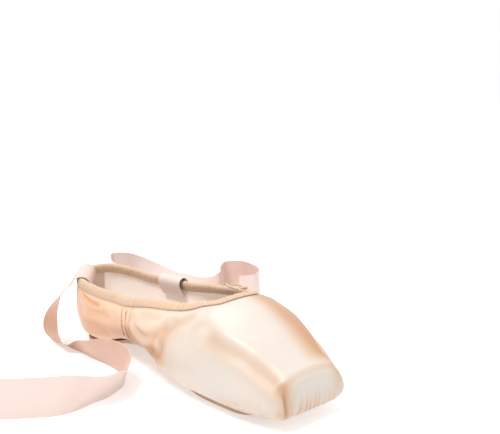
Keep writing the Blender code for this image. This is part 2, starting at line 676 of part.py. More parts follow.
def make_label(lines, look):
    """A small blank cloth label on the right inner wall, under the binding's inner edge."""
    spot = rim_frame(lines, -1, LABEL_AT)
    spread = np.linspace(-0.5, 0.5, 3) * LABEL_WIDTH
    drops = BINDING_INNER_WIDTH + 2 * SEAT_GAP + np.linspace(0.0, LABEL_HEIGHT, 3)
    profile = []
    for point in along(spot.line, spot.total - drops):
        inward = -normals_of(point)
        near = point + inward * (wall_thickness(point[1]) + 1.5 * SEAT_GAP)
        back = [near + spot.onward * c for c in spread]
        front = [near + spot.onward * c + inward * LABEL_THICKNESS for c in spread[::-1]]
        profile.append(back + front)
    profile = np.array(profile)
    return solid("inner_label", profile.reshape(-1, 3), open_sweep_faces(*profile.shape[:2]), look)


def main():
    """Build every piece of the shoe."""
    for old in list(bpy.data.objects):
        bpy.data.objects.remove(old)
    satin = material("satin", (0.90, 0.72, 0.60), 0.35)
    leather = material("leather", (0.62, 0.48, 0.38), 0.7)
    suede = material("suede", (0.58, 0.45, 0.40), 0.95)
    tape = material("tape", (0.91, 0.72, 0.52), 0.6)
    ribbon = material("ribbon", (0.88, 0.68, 0.62), 0.4)
    paper = material("label", (0.93, 0.91, 0.89), 0.7)
    lines = rib_lines()
    make_upper(lines, satin)
    make_outsole(leather)
    make_insole(lines, suede)
    make_binding(lines, tape)
    make_drawstring(lines, tape)
    make_label(lines, paper)
    right = over_rim(lines, -1, RIBBON_RIGHT_CROSSES_AT, RIBBON_RIGHT_BULGE)
    make_ribbon("ribbon_right", right, RIBBON_RIGHT, ribbon)
    left = over_rim(lines, 1, RIBBON_LEFT_CROSSES_AT, RIBBON_LEFT_BULGE)
    make_ribbon("ribbon_left", left, RIBBON_LEFT, ribbon)


main()
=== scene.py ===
"""A pointe shoe of pale satin, standing empty on its sole, with its ribbons laid round it.

Frame: +Z up, the toe towards -Y, the wearer's left at +X, metres. "s" is a distance behind the toe tip and
"at" the same as a share of the shoe's length. The floor is z = 0.
"""
from __future__ import annotations

import logging
import math
from dataclasses import dataclass, field
from enum import Enum
import bmesh
import bpy
import numpy as np
from mathutils import Matrix


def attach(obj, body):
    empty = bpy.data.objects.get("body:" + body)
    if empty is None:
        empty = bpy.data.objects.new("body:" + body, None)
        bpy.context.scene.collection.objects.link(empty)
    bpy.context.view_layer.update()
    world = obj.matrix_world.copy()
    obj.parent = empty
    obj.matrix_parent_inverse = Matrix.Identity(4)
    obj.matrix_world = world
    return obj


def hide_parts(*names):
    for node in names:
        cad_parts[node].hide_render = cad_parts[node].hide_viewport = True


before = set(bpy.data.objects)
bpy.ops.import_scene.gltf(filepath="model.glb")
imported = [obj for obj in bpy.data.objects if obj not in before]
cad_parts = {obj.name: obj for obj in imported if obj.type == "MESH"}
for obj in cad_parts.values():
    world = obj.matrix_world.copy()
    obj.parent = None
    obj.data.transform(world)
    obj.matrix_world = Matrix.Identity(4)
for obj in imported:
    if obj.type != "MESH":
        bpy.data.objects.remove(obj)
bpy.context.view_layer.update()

LOG = logging.getLogger("pointe_shoe")
MM = 0.001
SHARP_EDGE = math.radians(50.0)
PATH_DETAIL = 60
Array = np.ndarray
Colour = tuple[float, float, float]
Socket = bpy.types.NodeSocket
Material = bpy.types.Material


class Side(Enum):
    """The wearer's side that a piece is on."""

    RIGHT = -1
    LEFT = 1


def smooth_step(value: Array, low: float, high: float) -> Array:
    """Zero under low, one over high, and an S curve between.

    Args:
        value: What is measured.
        low: Where the curve starts.
        high: Where the curve ends.

    Returns:
        Shares from 0 to 1.
    """
    t = np.clip((value - low) / (high - low), 0.0, 1.0)
    return t * t * (3.0 - 2.0 * t)


def smooth_table(table: Array, column: int, at: Array) -> Array:
    """One column of a table over its first one, by a cubic that never overshoots its rows.

    Args:
        table: Rows of numbers, the first column rising.
        column: Which column to read.
        at: Where to read it.

    Returns:
        The values there.
    """
    xs, ys = table[:, 0], table[:, column]
    steps = np.diff(xs)
    slopes = np.diff(ys) / steps
    tangents = np.zeros_like(ys)
    same_way = slopes[:-1] * slopes[1:] > 0
    weights = 1.0 / np.where(same_way, slopes[:-1] + slopes[1:], 1.0)
    tangents[1:-1] = np.where(same_way, 2.0 * slopes[:-1] * slopes[1:] * weights, 0.0)
    tangents[0], tangents[-1] = slopes[0], slopes[-1]
    at = np.clip(np.asarray(at, float), xs[0], xs[-1])
    k = np.clip(np.searchsorted(xs, at, side="right") - 1, 0, len(xs) - 2)
    t = (at - xs[k]) / steps[k]
    return ((2 * t**3 - 3 * t**2 + 1) * ys[k] + (t**3 - 2 * t**2 + t) * steps[k] * tangents[k]
            + (-2 * t**3 + 3 * t**2) * ys[k + 1] + (t**3 - t**2) * steps[k] * tangents[k + 1])


def unit(vectors: Array) -> Array:
    """Vectors of length one along the last axis."""
    return vectors / np.maximum(np.linalg.norm(vectors, axis=-1, keepdims=True), 1e-12)


def run_length(points: Array) -> Array:
    """Distance along a line of points at each of them."""
    return np.concatenate([[0.0], np.cumsum(np.linalg.norm(np.diff(points, axis=0), axis=1))])


def eased(start: float, stop: float, count: int) -> Array:
    """Numbers from start to stop, closer together near both ends."""
    return start + (stop - start) * (0.5 - 0.5 * np.cos(np.linspace(0.0, math.pi, count)))


def smooth_path(rows: Array, spacing: float) -> Array:
    """A curve through rows of any width, with even steps of its first three columns.

    Between two rows each column is a cubic whose end slopes are the mean slopes of the neighbouring rows over
    the square root of the chord.

    Args:
        rows: The rows that the curve goes through.
        spacing: About how far apart its stations are.

    Returns:
        One row a station.
    """
    chord = np.linalg.norm(np.diff(rows[:, :3], axis=0), axis=1) ** 0.5
    knots = np.concatenate([[0.0], np.cumsum(chord)])
    slopes = np.gradient(rows, knots, axis=0)
    at = np.linspace(0.0, knots[-1], PATH_DETAIL * len(rows))
    k = np.clip(np.searchsorted(knots, at, side="right") - 1, 0, len(knots) - 2)
    h = (knots[k + 1] - knots[k])[:, None]
    t = ((at - knots[k]) / h[:, 0])[:, None]
    dense = ((2 * t**3 - 3 * t**2 + 1) * rows[k] + (t**3 - 2 * t**2 + t) * h * slopes[k]
             + (-2 * t**3 + 3 * t**2) * rows[k + 1] + (t**3 - t**2) * h * slopes[k + 1])
    reached = run_length(dense[:, :3])
    even = np.linspace(0.0, reached[-1], int(reached[-1] / spacing) + 1)
    return np.stack([np.interp(even, reached, dense[:, c]) for c in range(rows.shape[1])], 1)


def grid_quads(count: int, width: int, ring: bool, closed: bool) -> Array:
    """Corner numbers of the quads of a grid of count stations with width points each.

    Args:
        count: Stations.
        width: Points a station.
        ring: Whether the last station joins the first.
        closed: Whether each station is a closed profile.

    Returns:
        One row of four corner numbers a quad.
    """
    i = np.arange(count if ring else count - 1)[:, None]
    j = np.arange(width if closed else width - 1)[None, :]
    a, b, after = i * width, (i + 1) % count * width, (j + 1) % width
    return np.stack([a + j, b + j, b + after, a + after], -1).reshape(-1, 4)


def end_caps(count: int, width: int) -> list[tuple[int, ...]]:
    """The two faces that close a sweep of closed profiles at its ends."""
    return [tuple(range(width - 1, -1, -1)), tuple(range((count - 1) * width, count * width))]


def put(name: str, data: bpy.types.ID, turn: Array | None = None) -> bpy.types.Object:
    """Put a mesh, curve, light or camera in the scene.

    Args:
        name: The object's name.
        data: What the object shows.
        turn: Its four by four matrix, or none for the origin.

    Returns:
        The object.
    """
    made = bpy.data.objects.new(name, data)
    if turn is not None:
        made.matrix_world = Matrix(turn.tolist())
    bpy.context.collection.objects.link(made)
    return made


def make_piece(name: str, points: Array, faces: Array | list, looks: list[Material],
               values: dict[str, Array] | None = None, look_of_face: Array | None = None) -> bpy.types.Object:
    """A mesh object at the origin that rides on the shoe.

    Args:
        name: The object's name.
        points: Corners in the shoe's frame.
        faces: Corner numbers of each face.
        looks: Materials.
        values: Numbers for each corner, by name, which the materials read.
        look_of_face: Which material each face has.

    Returns:
        The object.
    """
    corners = np.asarray(points, float).reshape(-1, 3).tolist()
    mesh = bpy.data.meshes.new(name)
    mesh.from_pydata(corners, [], [tuple(map(int, face)) for face in faces])
    if look_of_face is not None:
        mesh.polygons.foreach_set("material_index", look_of_face.astype(np.int32))
    for key, numbers in (values or {}).items():
        carried = mesh.attributes.new(key, "FLOAT", "POINT")
        carried.data.foreach_set("value", numbers.ravel().astype(np.float32))
    shape = bmesh.new()
    shape.from_mesh(mesh)
    bmesh.ops.recalc_face_normals(shape, faces=shape.faces)
    if shape.calc_volume(signed=True) < 0:
        bmesh.ops.reverse_faces(shape, faces=shape.faces)
    shape.to_mesh(mesh)
    shape.free()
    mesh.shade_smooth()
    mesh.set_sharp_from_angle(angle=SHARP_EDGE)
    for look in looks:
        mesh.materials.append(look)
    piece = put(name, mesh)
    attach(piece, "root")
    LOG.info("%s: %d faces", name, len(mesh.polygons))
    return piece


def make_sweep(name: str, profiles: Array, look: Material,
               values: dict[str, Array]) -> bpy.types.Object:
    """A piece carried through closed profiles, with a face over each end.

    Args:
        name: The object's name.
        profiles: One profile of points a station, in the shoe's frame.
        look: The material.
        values: Numbers for each point, by name, which the material reads.

    Returns:
        The object.
    """
    count, width = profiles.shape[:2]
    faces = [*grid_quads(count, width, False, True), *end_caps(count, width)]
    return make_piece(name, profiles, faces, [look], values)


class NodeBench:
    """Lays out the nodes of one material."""

    def __init__(self, name: str) -> None:
        """Start a material with its Principled shader.

        Args:
            name: The material's name.
        """
        self.look = bpy.data.materials.new(name)
        self.look.use_nodes = True
        self.tree = self.look.node_tree
        self.shader = self.tree.nodes["Principled BSDF"]

    def add(self, kind: str, **settings: object) -> bpy.types.Node:
        """A node with some of its settings or inputs.

        Args:
            kind: Blender's node type.
            **settings: Properties, or inputs by name with _ for a space.

        Returns:
            The node.
        """
        node = self.tree.nodes.new(kind)
        for key, value in settings.items():
            if key in node.bl_rna.properties:
                setattr(node, key, value)
            else:
                node.inputs[key.replace("_", " ")].default_value = value
        return node

    def wire(self, source: Socket, target: Socket) -> None:
        """Connect two sockets."""
        self.tree.links.new(source, target)

    def dress(self, **parts: object) -> Material:
        """Set or wire inputs of the shader.

        Args:
            **parts: Values or sockets, by the input's name with _ for a space.

        Returns:
            The material.
        """
        for key, part in parts.items():
            target = self.shader.inputs[key.replace("_", " ")]
            if isinstance(part, Socket):
                self.wire(part, target)
            else:
                target.default_value = part
        return self.look

    def coordinates(self, scale: Colour) -> Socket:
        """Object coordinates, stretched.

        Args:
            scale: Factors along X, Y and Z.

        Returns:
            The vector socket.
        """
        place = self.add("ShaderNodeTexCoord")
        stretch = self.add("ShaderNodeMapping", vector_type="POINT")
        stretch.inputs["Scale"].default_value = scale
        self.wire(place.outputs["Object"], stretch.inputs["Vector"])
        return stretch.outputs["Vector"]

    def noise(self, size: float, detail: float, scale: Colour = (1.0, 1.0, 1.0)) -> Socket:
        """Noise over stretched object coordinates.

        Args:
            size: The noise's scale.
            detail: Its octaves.
            scale: Factors along X, Y and Z.

        Returns:
            The factor socket.
        """
        made = self.add("ShaderNodeTexNoise", Scale=size, Detail=detail, Roughness=0.55)
        self.wire(self.coordinates(scale), made.inputs["Vector"])
        return made.outputs["Fac"]

    def value(self, name: str) -> Socket:
        """A number that the mesh carries for each corner."""
        return self.add("ShaderNodeAttribute", attribute_name=name).outputs["Fac"]

    def mottle(self, size: float, detail: float, share: float) -> Socket:
        """The tone that the mesh carries, with painted shade on the satin, moved up and down by slow noise.
        """
        return self.sum(self.value("tone_and_shade"), self.noise(size, detail), share, -0.5 * share)

    def sum(self, first: Socket, second: Socket, share: float,
            offset: float) -> Socket:
        """first + second * share + offset, kept from 0 to 1.

        Args:
            first: A socket taken whole.
            second: A socket of which a share is taken.
            share: That share.
            offset: A number on top.

        Returns:
            The socket of the sum.
        """
        part = self.add("ShaderNodeMath", operation="MULTIPLY_ADD")
        self.wire(second, part.inputs[0])
        part.inputs[1].default_value = share
        part.inputs[2].default_value = offset
        whole = self.add("ShaderNodeMath", operation="ADD", use_clamp=True)
        self.wire(first, whole.inputs[0])
        self.wire(part.outputs[0], whole.inputs[1])
        return whole.outputs[0]

    def blend(self, share: Socket, stops: list[tuple[float, Colour]]) -> Socket:
        """Colours along a ramp.

        Args:
            share: Where on the ramp.
            stops: Places and colours.

        Returns:
            The colour socket.
        """
        ramp = self.add("ShaderNodeValToRGB")
        elements = ramp.color_ramp.elements
        while len(elements) < len(stops):
            elements.new(0.5)
        for element, (place, colour) in zip(elements, stops):
            element.position = place
            element.color = (*colour, 1.0)
        self.wire(share, ramp.inputs["Fac"])
        return ramp.outputs["Color"]

    def bump(self, height: Socket, depth: float, strength: float,
             under: Socket | None = None) -> Socket:
        """Relief from a height.

        Args:
            height: The height socket.
            depth: Real depth in metres.
            strength: How much of it shows.
            under: The relief that this one lies on.

        Returns:
            The normal socket.
        """
        node = self.add("ShaderNodeBump", Strength=strength, Distance=depth)
        self.wire(height, node.inputs["Height"])
        if under is not None:
            self.wire(under, node.inputs["Normal"])
        return node.outputs["Normal"]


@dataclass(frozen=True)
class SatinFinish:
    """Glossy satin cloth: it goes from a pale to a deep tone by the tone and painted shade that the mesh
    carries, and by slow mottling.
    """

    name: str
    pale: Colour
    middle: Colour
    deep: Colour
    roughness: float = 0.42
    sheen: float = 0.25
    threads: Colour = (1.0, 0.12, 1.0)
    anisotropy: float = 0.35
    shadow: Colour = (0.58, 0.465, 0.365)
    middle_at: float = 0.45
    uneven_gloss: float = 0.14

    def make(self) -> Material:
        """Lay out the nodes; the mesh's shade multiplies the colour by the shadow's.

        Returns:
            The material.
        """
        bench = NodeBench(self.name)
        tone = bench.mottle(size=38.0, detail=3.0, share=0.16)
        colour = bench.blend(tone, [(0.0, self.pale), (self.middle_at, self.middle), (1.0, self.deep)])
        shadow = bench.blend(bench.value("shade"), [(0.0, (1.0, 1.0, 1.0)), (1.0, self.shadow)])
        shaded = bench.add("ShaderNodeVectorMath", operation="MULTIPLY")
        bench.wire(colour, shaded.inputs[0])
        bench.wire(shadow, shaded.inputs[1])
        gloss = bench.sum(bench.value("matte"), bench.noise(700.0, 2.0, self.threads), self.uneven_gloss,
                          self.roughness - 0.5 * self.uneven_gloss)
        weave = bench.bump(bench.noise(2600.0, 2.0, self.threads), depth=0.06 * MM, strength=0.35)
        slubs = bench.bump(bench.noise(420.0, 3.0, self.threads), depth=0.08 * MM, strength=0.3, under=weave)
        return bench.dress(Base_Color=shaded.outputs[0], Roughness=gloss, Normal=slubs,
                           Sheen_Weight=self.sheen, Sheen_Roughness=0.35, Sheen_Tint=(1.0, 0.93, 0.86, 1.0),
                           Anisotropic=self.anisotropy, Specular_IOR_Level=0.55)


@dataclass(frozen=True)
class ClothFinish:
    """Matte cotton cloth or tape with a plain weave."""

    name: str
    light: Colour
    dark: Colour
    weave: float = 1500.0
    roughness: float = 0.8

    def make(self) -> Material:
        """Lay out the nodes.

        Returns:
            The material.
        """
        bench = NodeBench(self.name)
        tone = bench.mottle(size=90.0, detail=4.0, share=0.5)
        fine = bench.bump(bench.noise(self.weave, 2.0), depth=0.12 * MM, strength=0.6)
        return bench.dress(Base_Color=bench.blend(tone, [(0.0, self.light), (1.0, self.dark)]),
                           Roughness=self.roughness, Normal=fine, Sheen_Weight=0.2)


@dataclass(frozen=True)
class HideFinish:
    """Leather or suede: mottled, grained, and rubbed paler or darker where the mesh's tone says."""

    name: str
    light: Colour
    dark: Colour
    grain: float
    relief: float
    roughness: float
    sheen: float
    finer: float = 2.2

    def make(self) -> Material:
        """Lay out the nodes, with wide pores and a finer grain on them.

        Returns:
            The material.
        """
        bench = NodeBench(self.name)
        tone = bench.mottle(size=60.0, detail=6.0, share=1.1)
        pores = bench.add("ShaderNodeTexVoronoi", Scale=self.grain)
        bench.wire(bench.coordinates((1.0, 1.0, 1.0)), pores.inputs["Vector"])
        coarse = bench.bump(pores.outputs["Distance"], self.relief, strength=0.5)
        fine = bench.bump(bench.noise(self.grain * self.finer, 3.0), self.relief, strength=0.5, under=coarse)
        return bench.dress(Base_Color=bench.blend(tone, [(0.0, self.light), (1.0, self.dark)]),
                           Roughness=self.roughness, Normal=fine, Sheen_Weight=self.sheen)


@dataclass(frozen=True)
class ThreadFinish:
    """Twisted sewing thread or cord."""

    name: str
    colour: Colour
    twist: float = 900.0
    groove: float = 0.82

    def make(self) -> Material:
        """Lay out the nodes, with painted shade in the grooves between the strands.

        Returns:
            The material.
        """
        bench = NodeBench(self.name)
        strands = bench.add("ShaderNodeTexWave", Scale=self.twist, Distortion=1.5, Detail=1.0)
        bench.wire(bench.coordinates((1.0, 0.8, 1.2)), strands.inputs["Vector"])
        strand = strands.outputs["Fac"]
        # painted shade: the colour darkens in the grooves between the strands
        dark = tuple(self.groove * c for c in self.colour)
        return bench.dress(Base_Color=bench.blend(strand, [(0.0, dark), (1.0, self.colour)]), Roughness=0.6,
                           Normal=bench.bump(strand, depth=0.1 * MM, strength=0.5), Sheen_Weight=0.15)


@dataclass(frozen=True)
class Last:
    """The form that the shoe is made on: sizes, tables, and its surface as the zero of a field."""

    length: float = 235 * MM
    ball_width: float = 72 * MM
    instep_height: float = 60 * MM
    heel_height: float = 48 * MM
    waist_height: float = 45 * MM
    tread_centre: float = 62 * MM
    toe_spring: float = 4.0 * MM
    arch_rise: float = 11.5 * MM
    platform_edge: float = 4.5 * MM
    feather_edge: float = 5.0 * MM
    heel_round: float = 36 * MM
    sole_cut: float = 6 * MM
    upper_wall: float = 1.8 * MM
    box_wall: float = 3.0 * MM
    seat_gap: float = 0.3 * MM
    outsole_thickness: float = 2.6 * MM
    outsole_ball_width: float = 47 * MM
    outsole_front: float = 21 * MM
    outsole_back: float = 9 * MM
    seat_margin: float = 7 * MM
    spine: float = 24 * MM
    toe_centre: float = 0.42
    side_power: float = 2.3
    top_power: float = 2.4
    tube_margin: float = 6 * MM
    ray: float = 0.2
    halvings: int = 30

    # at, half width, crown, share of the height where it is widest
    sections = np.array([
        (0.0, 0.7, 0.5, 0.42), (0.05, 0.79, 0.61, 0.42), (0.12, 0.91, 0.79, 0.42), (0.2, 0.98, 0.94, 0.42),
        (0.28, 1.0, 1.0, 0.42), (0.38, 0.98, 1.0, 0.43), (0.48, 0.91, 0.96, 0.46), (0.58, 0.82, 0.94, 0.5),
        (0.7, 0.76, 0.96, 0.5), (0.82, 0.72, 1.03, 0.42), (0.92, 0.7, 1.1, 0.38), (1.0, 0.7, 1.1, 0.38)])
    # at, toe spring, arch rise
    profile = np.array([
        (0.0, 1.0, 0.0), (0.04, 0.62, 0.0), (0.09, 0.25, 0.0), (0.15, 0.04, 0.0), (0.2, 0.0, 0.0),
        (0.33, 0.0, 0.0), (0.42, 0.0, 0.3), (0.52, 0.0, 0.85), (0.6, 0.0, 1.0), (0.7, 0.0, 0.78),
        (0.8, 0.0, 0.2), (0.86, 0.0, 0.0), (0.94, 0.0, 0.0), (1.0, 0.25, 0.0)])
    # at, instep, waist, heel
    collar = np.array([
        (0.2, 2.0, 0.0, 0.0), (0.27, 0.983, 0.0, 0.0), (0.285, 0.967, 0.0, 0.0),
        (0.32, 0.937, 0.0, 0.0), (0.4, 0.6, 0.37, 0.0), (0.52, 0.2, 0.82, 0.0),
        (0.65, 0.0, 1.0, 0.0), (0.78, 0.0, 0.65, 0.3), (0.88, 0.0, 0.28, 0.66),
        (0.96, 0.0, 0.0, 0.97), (1.0, 0.0, 0.0, 1.0)])
    # at, half width of the outsole
    tread = np.array([
        (0.09, 0.8), (0.18, 0.97), (0.28, 1.0), (0.42, 0.84), (0.58, 0.64), (0.72, 0.68), (0.86, 0.76),
        (0.96, 0.76)])

    def bottom(self, s: Array) -> Array:
        """Height of the upper's underside."""
        at = s / self.length
        return (self.outsole_thickness + self.seat_gap + self.toe_spring * smooth_table(self.profile, 1, at)
                + self.arch_rise * smooth_table(self.profile, 2, at))

    def rim(self, s: Array) -> Array:
        """Height of the collar's edge."""
        heights = (self.instep_height, self.waist_height, self.heel_height)
        return sum(high * smooth_table(self.collar, k, s / self.length) for k, high in enumerate(heights, 1))

    def wall(self, s: Array) -> Array:
        """The wall's thickness, greater in the box than in the quarters."""
        return self.box_wall + (self.upper_wall - self.box_wall) * smooth_step(s / self.length, 0.22, 0.42)

    def half_tread(self, s: Array, inset: float) -> Array:
        """Half width of the outsole, or of a like outline further in, with its two round ends.

        Args:
            s: Distances behind the tip.
            inset: How much further in.

        Returns:
            The half widths, zero past both ends.
        """
        half = 0.5 * self.outsole_ball_width * smooth_table(self.tread, 1, s / self.length) - inset
        front_end = np.clip((self.outsole_front + inset + half - s) / half, 0.0, 1.0)
        back_end = np.clip((s - (self.length - self.outsole_back - inset) + half) / half, 0.0, 1.0)
        return half * np.sqrt(1.0 - front_end ** 2) * np.sqrt(1.0 - back_end ** 2)

    @staticmethod
    def rounded_max(a: Array, b: Array, radius: float) -> Array:
        """The larger of two fields, with the edge between them rounded.

        Args:
            a: One field.
            b: The other.
            radius: About the edge's radius.

        Returns:
            The joint field.
        """
        width = 1.3 * radius
        mix = np.clip(0.5 + 0.5 * (a - b) / width, 0.0, 1.0)
        return a * mix + b * (1.0 - mix) + width * mix * (1.0 - mix)

    def field(self, points: Array) -> Array:
        """A tube of oval sections, cut by the platform and by the flat bottom.

        Args:
            points: Where to work it out.

        Returns:
            Numbers below zero inside, and zero on the surface.
        """
        x, s, z = points[..., 0], points[..., 1], points[..., 2]
        at = s / self.length
        half = 0.5 * self.ball_width * smooth_table(self.sections, 1, at)
        flat = self.bottom(s)
        low = flat - self.sole_cut
        high = self.instep_height * smooth_table(self.sections, 2, at)
        widest = low + smooth_table(self.sections, 3, at) * (high - low)
        behind = np.maximum(0.0, s - (self.length - self.heel_round)) / self.heel_round
        across = (np.abs(x / half) ** self.side_power + behind ** self.side_power) ** (1 / self.side_power)
        above = z > widest
        power = np.where(above, self.top_power, self.side_power)
        reach = np.where(above, high - widest, widest - low)
        ratio = (across ** power + (np.abs(z - widest) / reach) ** power) ** (1.0 / power)
        tube = (ratio - 1.0) * np.minimum(half, 0.5 * (high - low) + self.tube_margin)
        cut = self.rounded_max(tube, -s, self.platform_edge)
        return self.rounded_max(cut, flat - z, self.feather_edge)

    def normals(self, points: Array) -> Array:
        """Outward directions, by the field's slope."""
        steps = 0.02 * MM * np.eye(3)
        return unit(np.stack([self.field(points + step) - self.field(points - step) for step in steps], -1))

    def cast(self, centres: Array, directions: Array) -> Array:
        """Points where rays from inside meet the surface, by halving.

        Args:
            centres: Where the rays start.
            directions: Their directions.

        Returns:
            The points.
        """
        near = np.zeros(directions.shape[:-1])
        far = np.full(directions.shape[:-1], self.ray)
        for _ in range(self.halvings):
            middle = 0.5 * (near + far)
            inside = self.field(centres + directions * middle[..., None]) < 0
            near, far = np.where(inside, middle, near), np.where(inside, far, middle)
        return centres + directions * near[..., None]

    def at_side(self, side: Side, s: Array, z: Array) -> Array:
        """Points on one side of the shoe at given distances behind the tip and heights.

        Args:
            side: Which side.
            s: Distances behind the tip.
            z: Heights, between the sole and the crown.

        Returns:
            The points.
        """
        centres = np.stack([np.zeros_like(s), s, z], -1)
        directions = np.zeros_like(centres)
        directions[..., 0] = side.value
        return self.cast(centres, directions)

    def placed(self, points: Array) -> Array:
        """From distances behind the tip to the shoe's frame."""
        return points - np.array([0.0, self.tread_centre, 0.0])


@dataclass
class Skin:
    """The last's surface as a grid of ribs that fan out round the shoe, from the sole's edge to the rim."""

    last: Last
    toe_ribs: int = 151
    side_ribs: int = 120
    heel_ribs: int = 91
    rows: int = 84
    turn_weight: float = 7 * MM
    toe_spread: float = 1.15
    fan: tuple[float, float, int] = (-80.0, 85.0, 261)
    outer: Array = field(init=False)
    normals: Array = field(init=False)
    reach: Array = field(init=False)

    def __post_init__(self) -> None:
        """Work out the grid, its normals and each point's distance below the rim."""
        dense, start, stop = self.dense_ribs()
        steps = np.linalg.norm(np.diff(dense, axis=1), axis=2)
        headings = np.diff(dense, axis=1) / steps[..., None]
        turning = np.arccos(np.clip(np.sum(headings[:, 1:] * headings[:, :-1], axis=2), -1.0, 1.0))
        weight = steps + self.turn_weight * np.pad(turning, ((0, 0), (0, 1)))
        measure = np.pad(np.cumsum(weight, axis=1), ((0, 0), (1, 0)))
        first, last = (self.read(measure[..., None], place)[..., 0] for place in (start, stop))
        share = np.linspace(0.0, 1.0, self.rows)
        wanted = first[:, None] + (last - first)[:, None] * share
        k = np.clip((measure[:, None, :] <= wanted[..., None]).sum(-1) - 1, 0, dense.shape[1] - 2)
        low = np.take_along_axis(measure, k, 1)
        high = np.take_along_axis(measure, k + 1, 1)
        index = k + (wanted - low) / (high - low)
        self.outer = self.read(dense, index)
        self.normals = self.last.normals(self.outer)
        down = np.linalg.norm(np.diff(self.outer[:, ::-1], axis=1), axis=2)
        self.reach = np.pad(np.cumsum(down, axis=1), ((0, 0), (1, 0)))[:, ::-1]

    @staticmethod
    def read(ribs: Array, index: Array) -> Array:
        """Rows of each rib at broken index numbers, by straight steps.

        Args:
            ribs: One line of rows a rib.
            index: Where to read each rib.

        Returns:
            The rows there.
        """
        flat = index.reshape(len(ribs), -1)
        k = np.clip(np.floor(flat).astype(int), 0, ribs.shape[1] - 2)
        t = (flat - k)[..., None]
        low = np.take_along_axis(ribs, k[..., None], 1)
        high = np.take_along_axis(ribs, (k + 1)[..., None], 1)
        return (low + (high - low) * t).reshape(*index.shape, ribs.shape[-1])

    @staticmethod
    def rise(values: Array, after: Array) -> Array:
        """Where each row of values first rises through zero.

        Args:
            values: One row a rib.
            after: The index of each row that the search starts behind.

        Returns:
            Broken index numbers.
        """
        number = np.arange(values.shape[1])
        k = np.argmax((values > 0) & (number > after[:, None]), axis=1)
        low = np.take_along_axis(values, k[:, None] - 1, 1)[:, 0]
        high = np.take_along_axis(values, k[:, None], 1)[:, 0]
        return k - 1 + low / (low - high)

    def dense_ribs(self) -> tuple[Array, Array, Array]:
        """The ribs before their rows are chosen.

        Returns:
            The ribs as dense lines, and the broken index of the sole opening and of the rim on each.
        """
        last = self.last
        toe_centre, heel_centre = last.toe_centre * last.length, last.length - last.heel_round
        turn = np.linspace(-1.0, 1.0, self.toe_ribs)
        toe = 0.5 * math.pi * (np.sign(turn) * np.abs(turn) ** self.toe_spread)[1:-1]
        heel = np.linspace(0.0, math.pi, self.heel_ribs)[1:-1]
        run = np.linspace(toe_centre, heel_centre, self.side_ribs)
        toe_part, heel_part = np.full(len(toe), toe_centre), np.full(len(heel), heel_centre)
        centre = np.concatenate([toe_part, run, heel_part, run[::-1]])
        aside = np.concatenate([np.sin(toe), np.ones(len(run)), np.cos(heel), -np.ones(len(run))])
        ahead = np.concatenate([-np.cos(toe), np.zeros(len(run)), np.sin(heel), np.zeros(len(run))])
        tilt = np.radians(np.linspace(*self.fan))
        directions = np.stack([aside[:, None] * np.cos(tilt), ahead[:, None] * np.cos(tilt),
                               np.sin(tilt) * np.ones((len(centre), 1))], -1)
        centres = np.stack([np.zeros_like(centre), centre, np.full(len(centre), last.spine)], -1)[:, None, :]
        dense = last.cast(np.broadcast_to(centres, directions.shape), directions)
        x, s, z = dense[..., 0], dense[..., 1], dense[..., 2]
        ends = np.maximum(last.outsole_front + last.seat_margin - s,
                          s - (last.length - last.outsole_back - last.seat_margin))
        outside = np.maximum(np.abs(x) - last.half_tread(s, last.seat_margin), ends)
        start = self.rise(outside, np.zeros(len(dense)))
        stop = self.rise(z - last.rim(s), np.ceil(start))
        return dense, start, stop

    def below_rim(self, distances: Array) -> tuple[Array, Array]:
        """Points and normals on each rib at distances below the rim.

        Args:
            distances: How far below the rim, along the surface.

        Returns:
            The points and their outward normals, one row a rib.
        """
        wanted = np.broadcast_to(distances, (len(self.outer), len(distances)))
        rising = self.reach[:, ::-1]
        k = np.clip((rising[:, None, :] <= wanted[..., None]).sum(-1) - 1, 0, self.rows - 2)
        low, high = np.take_along_axis(rising, k, 1), np.take_along_axis(rising, k + 1, 1)
        points = self.read(self.outer[:, ::-1], k + (wanted - low) / (high - low))
        return points, self.last.normals(points)

    def inner(self) -> Array:
        """The wall's inner side."""
        return self.outer - self.normals * self.last.wall(self.outer[..., 1])[..., None]


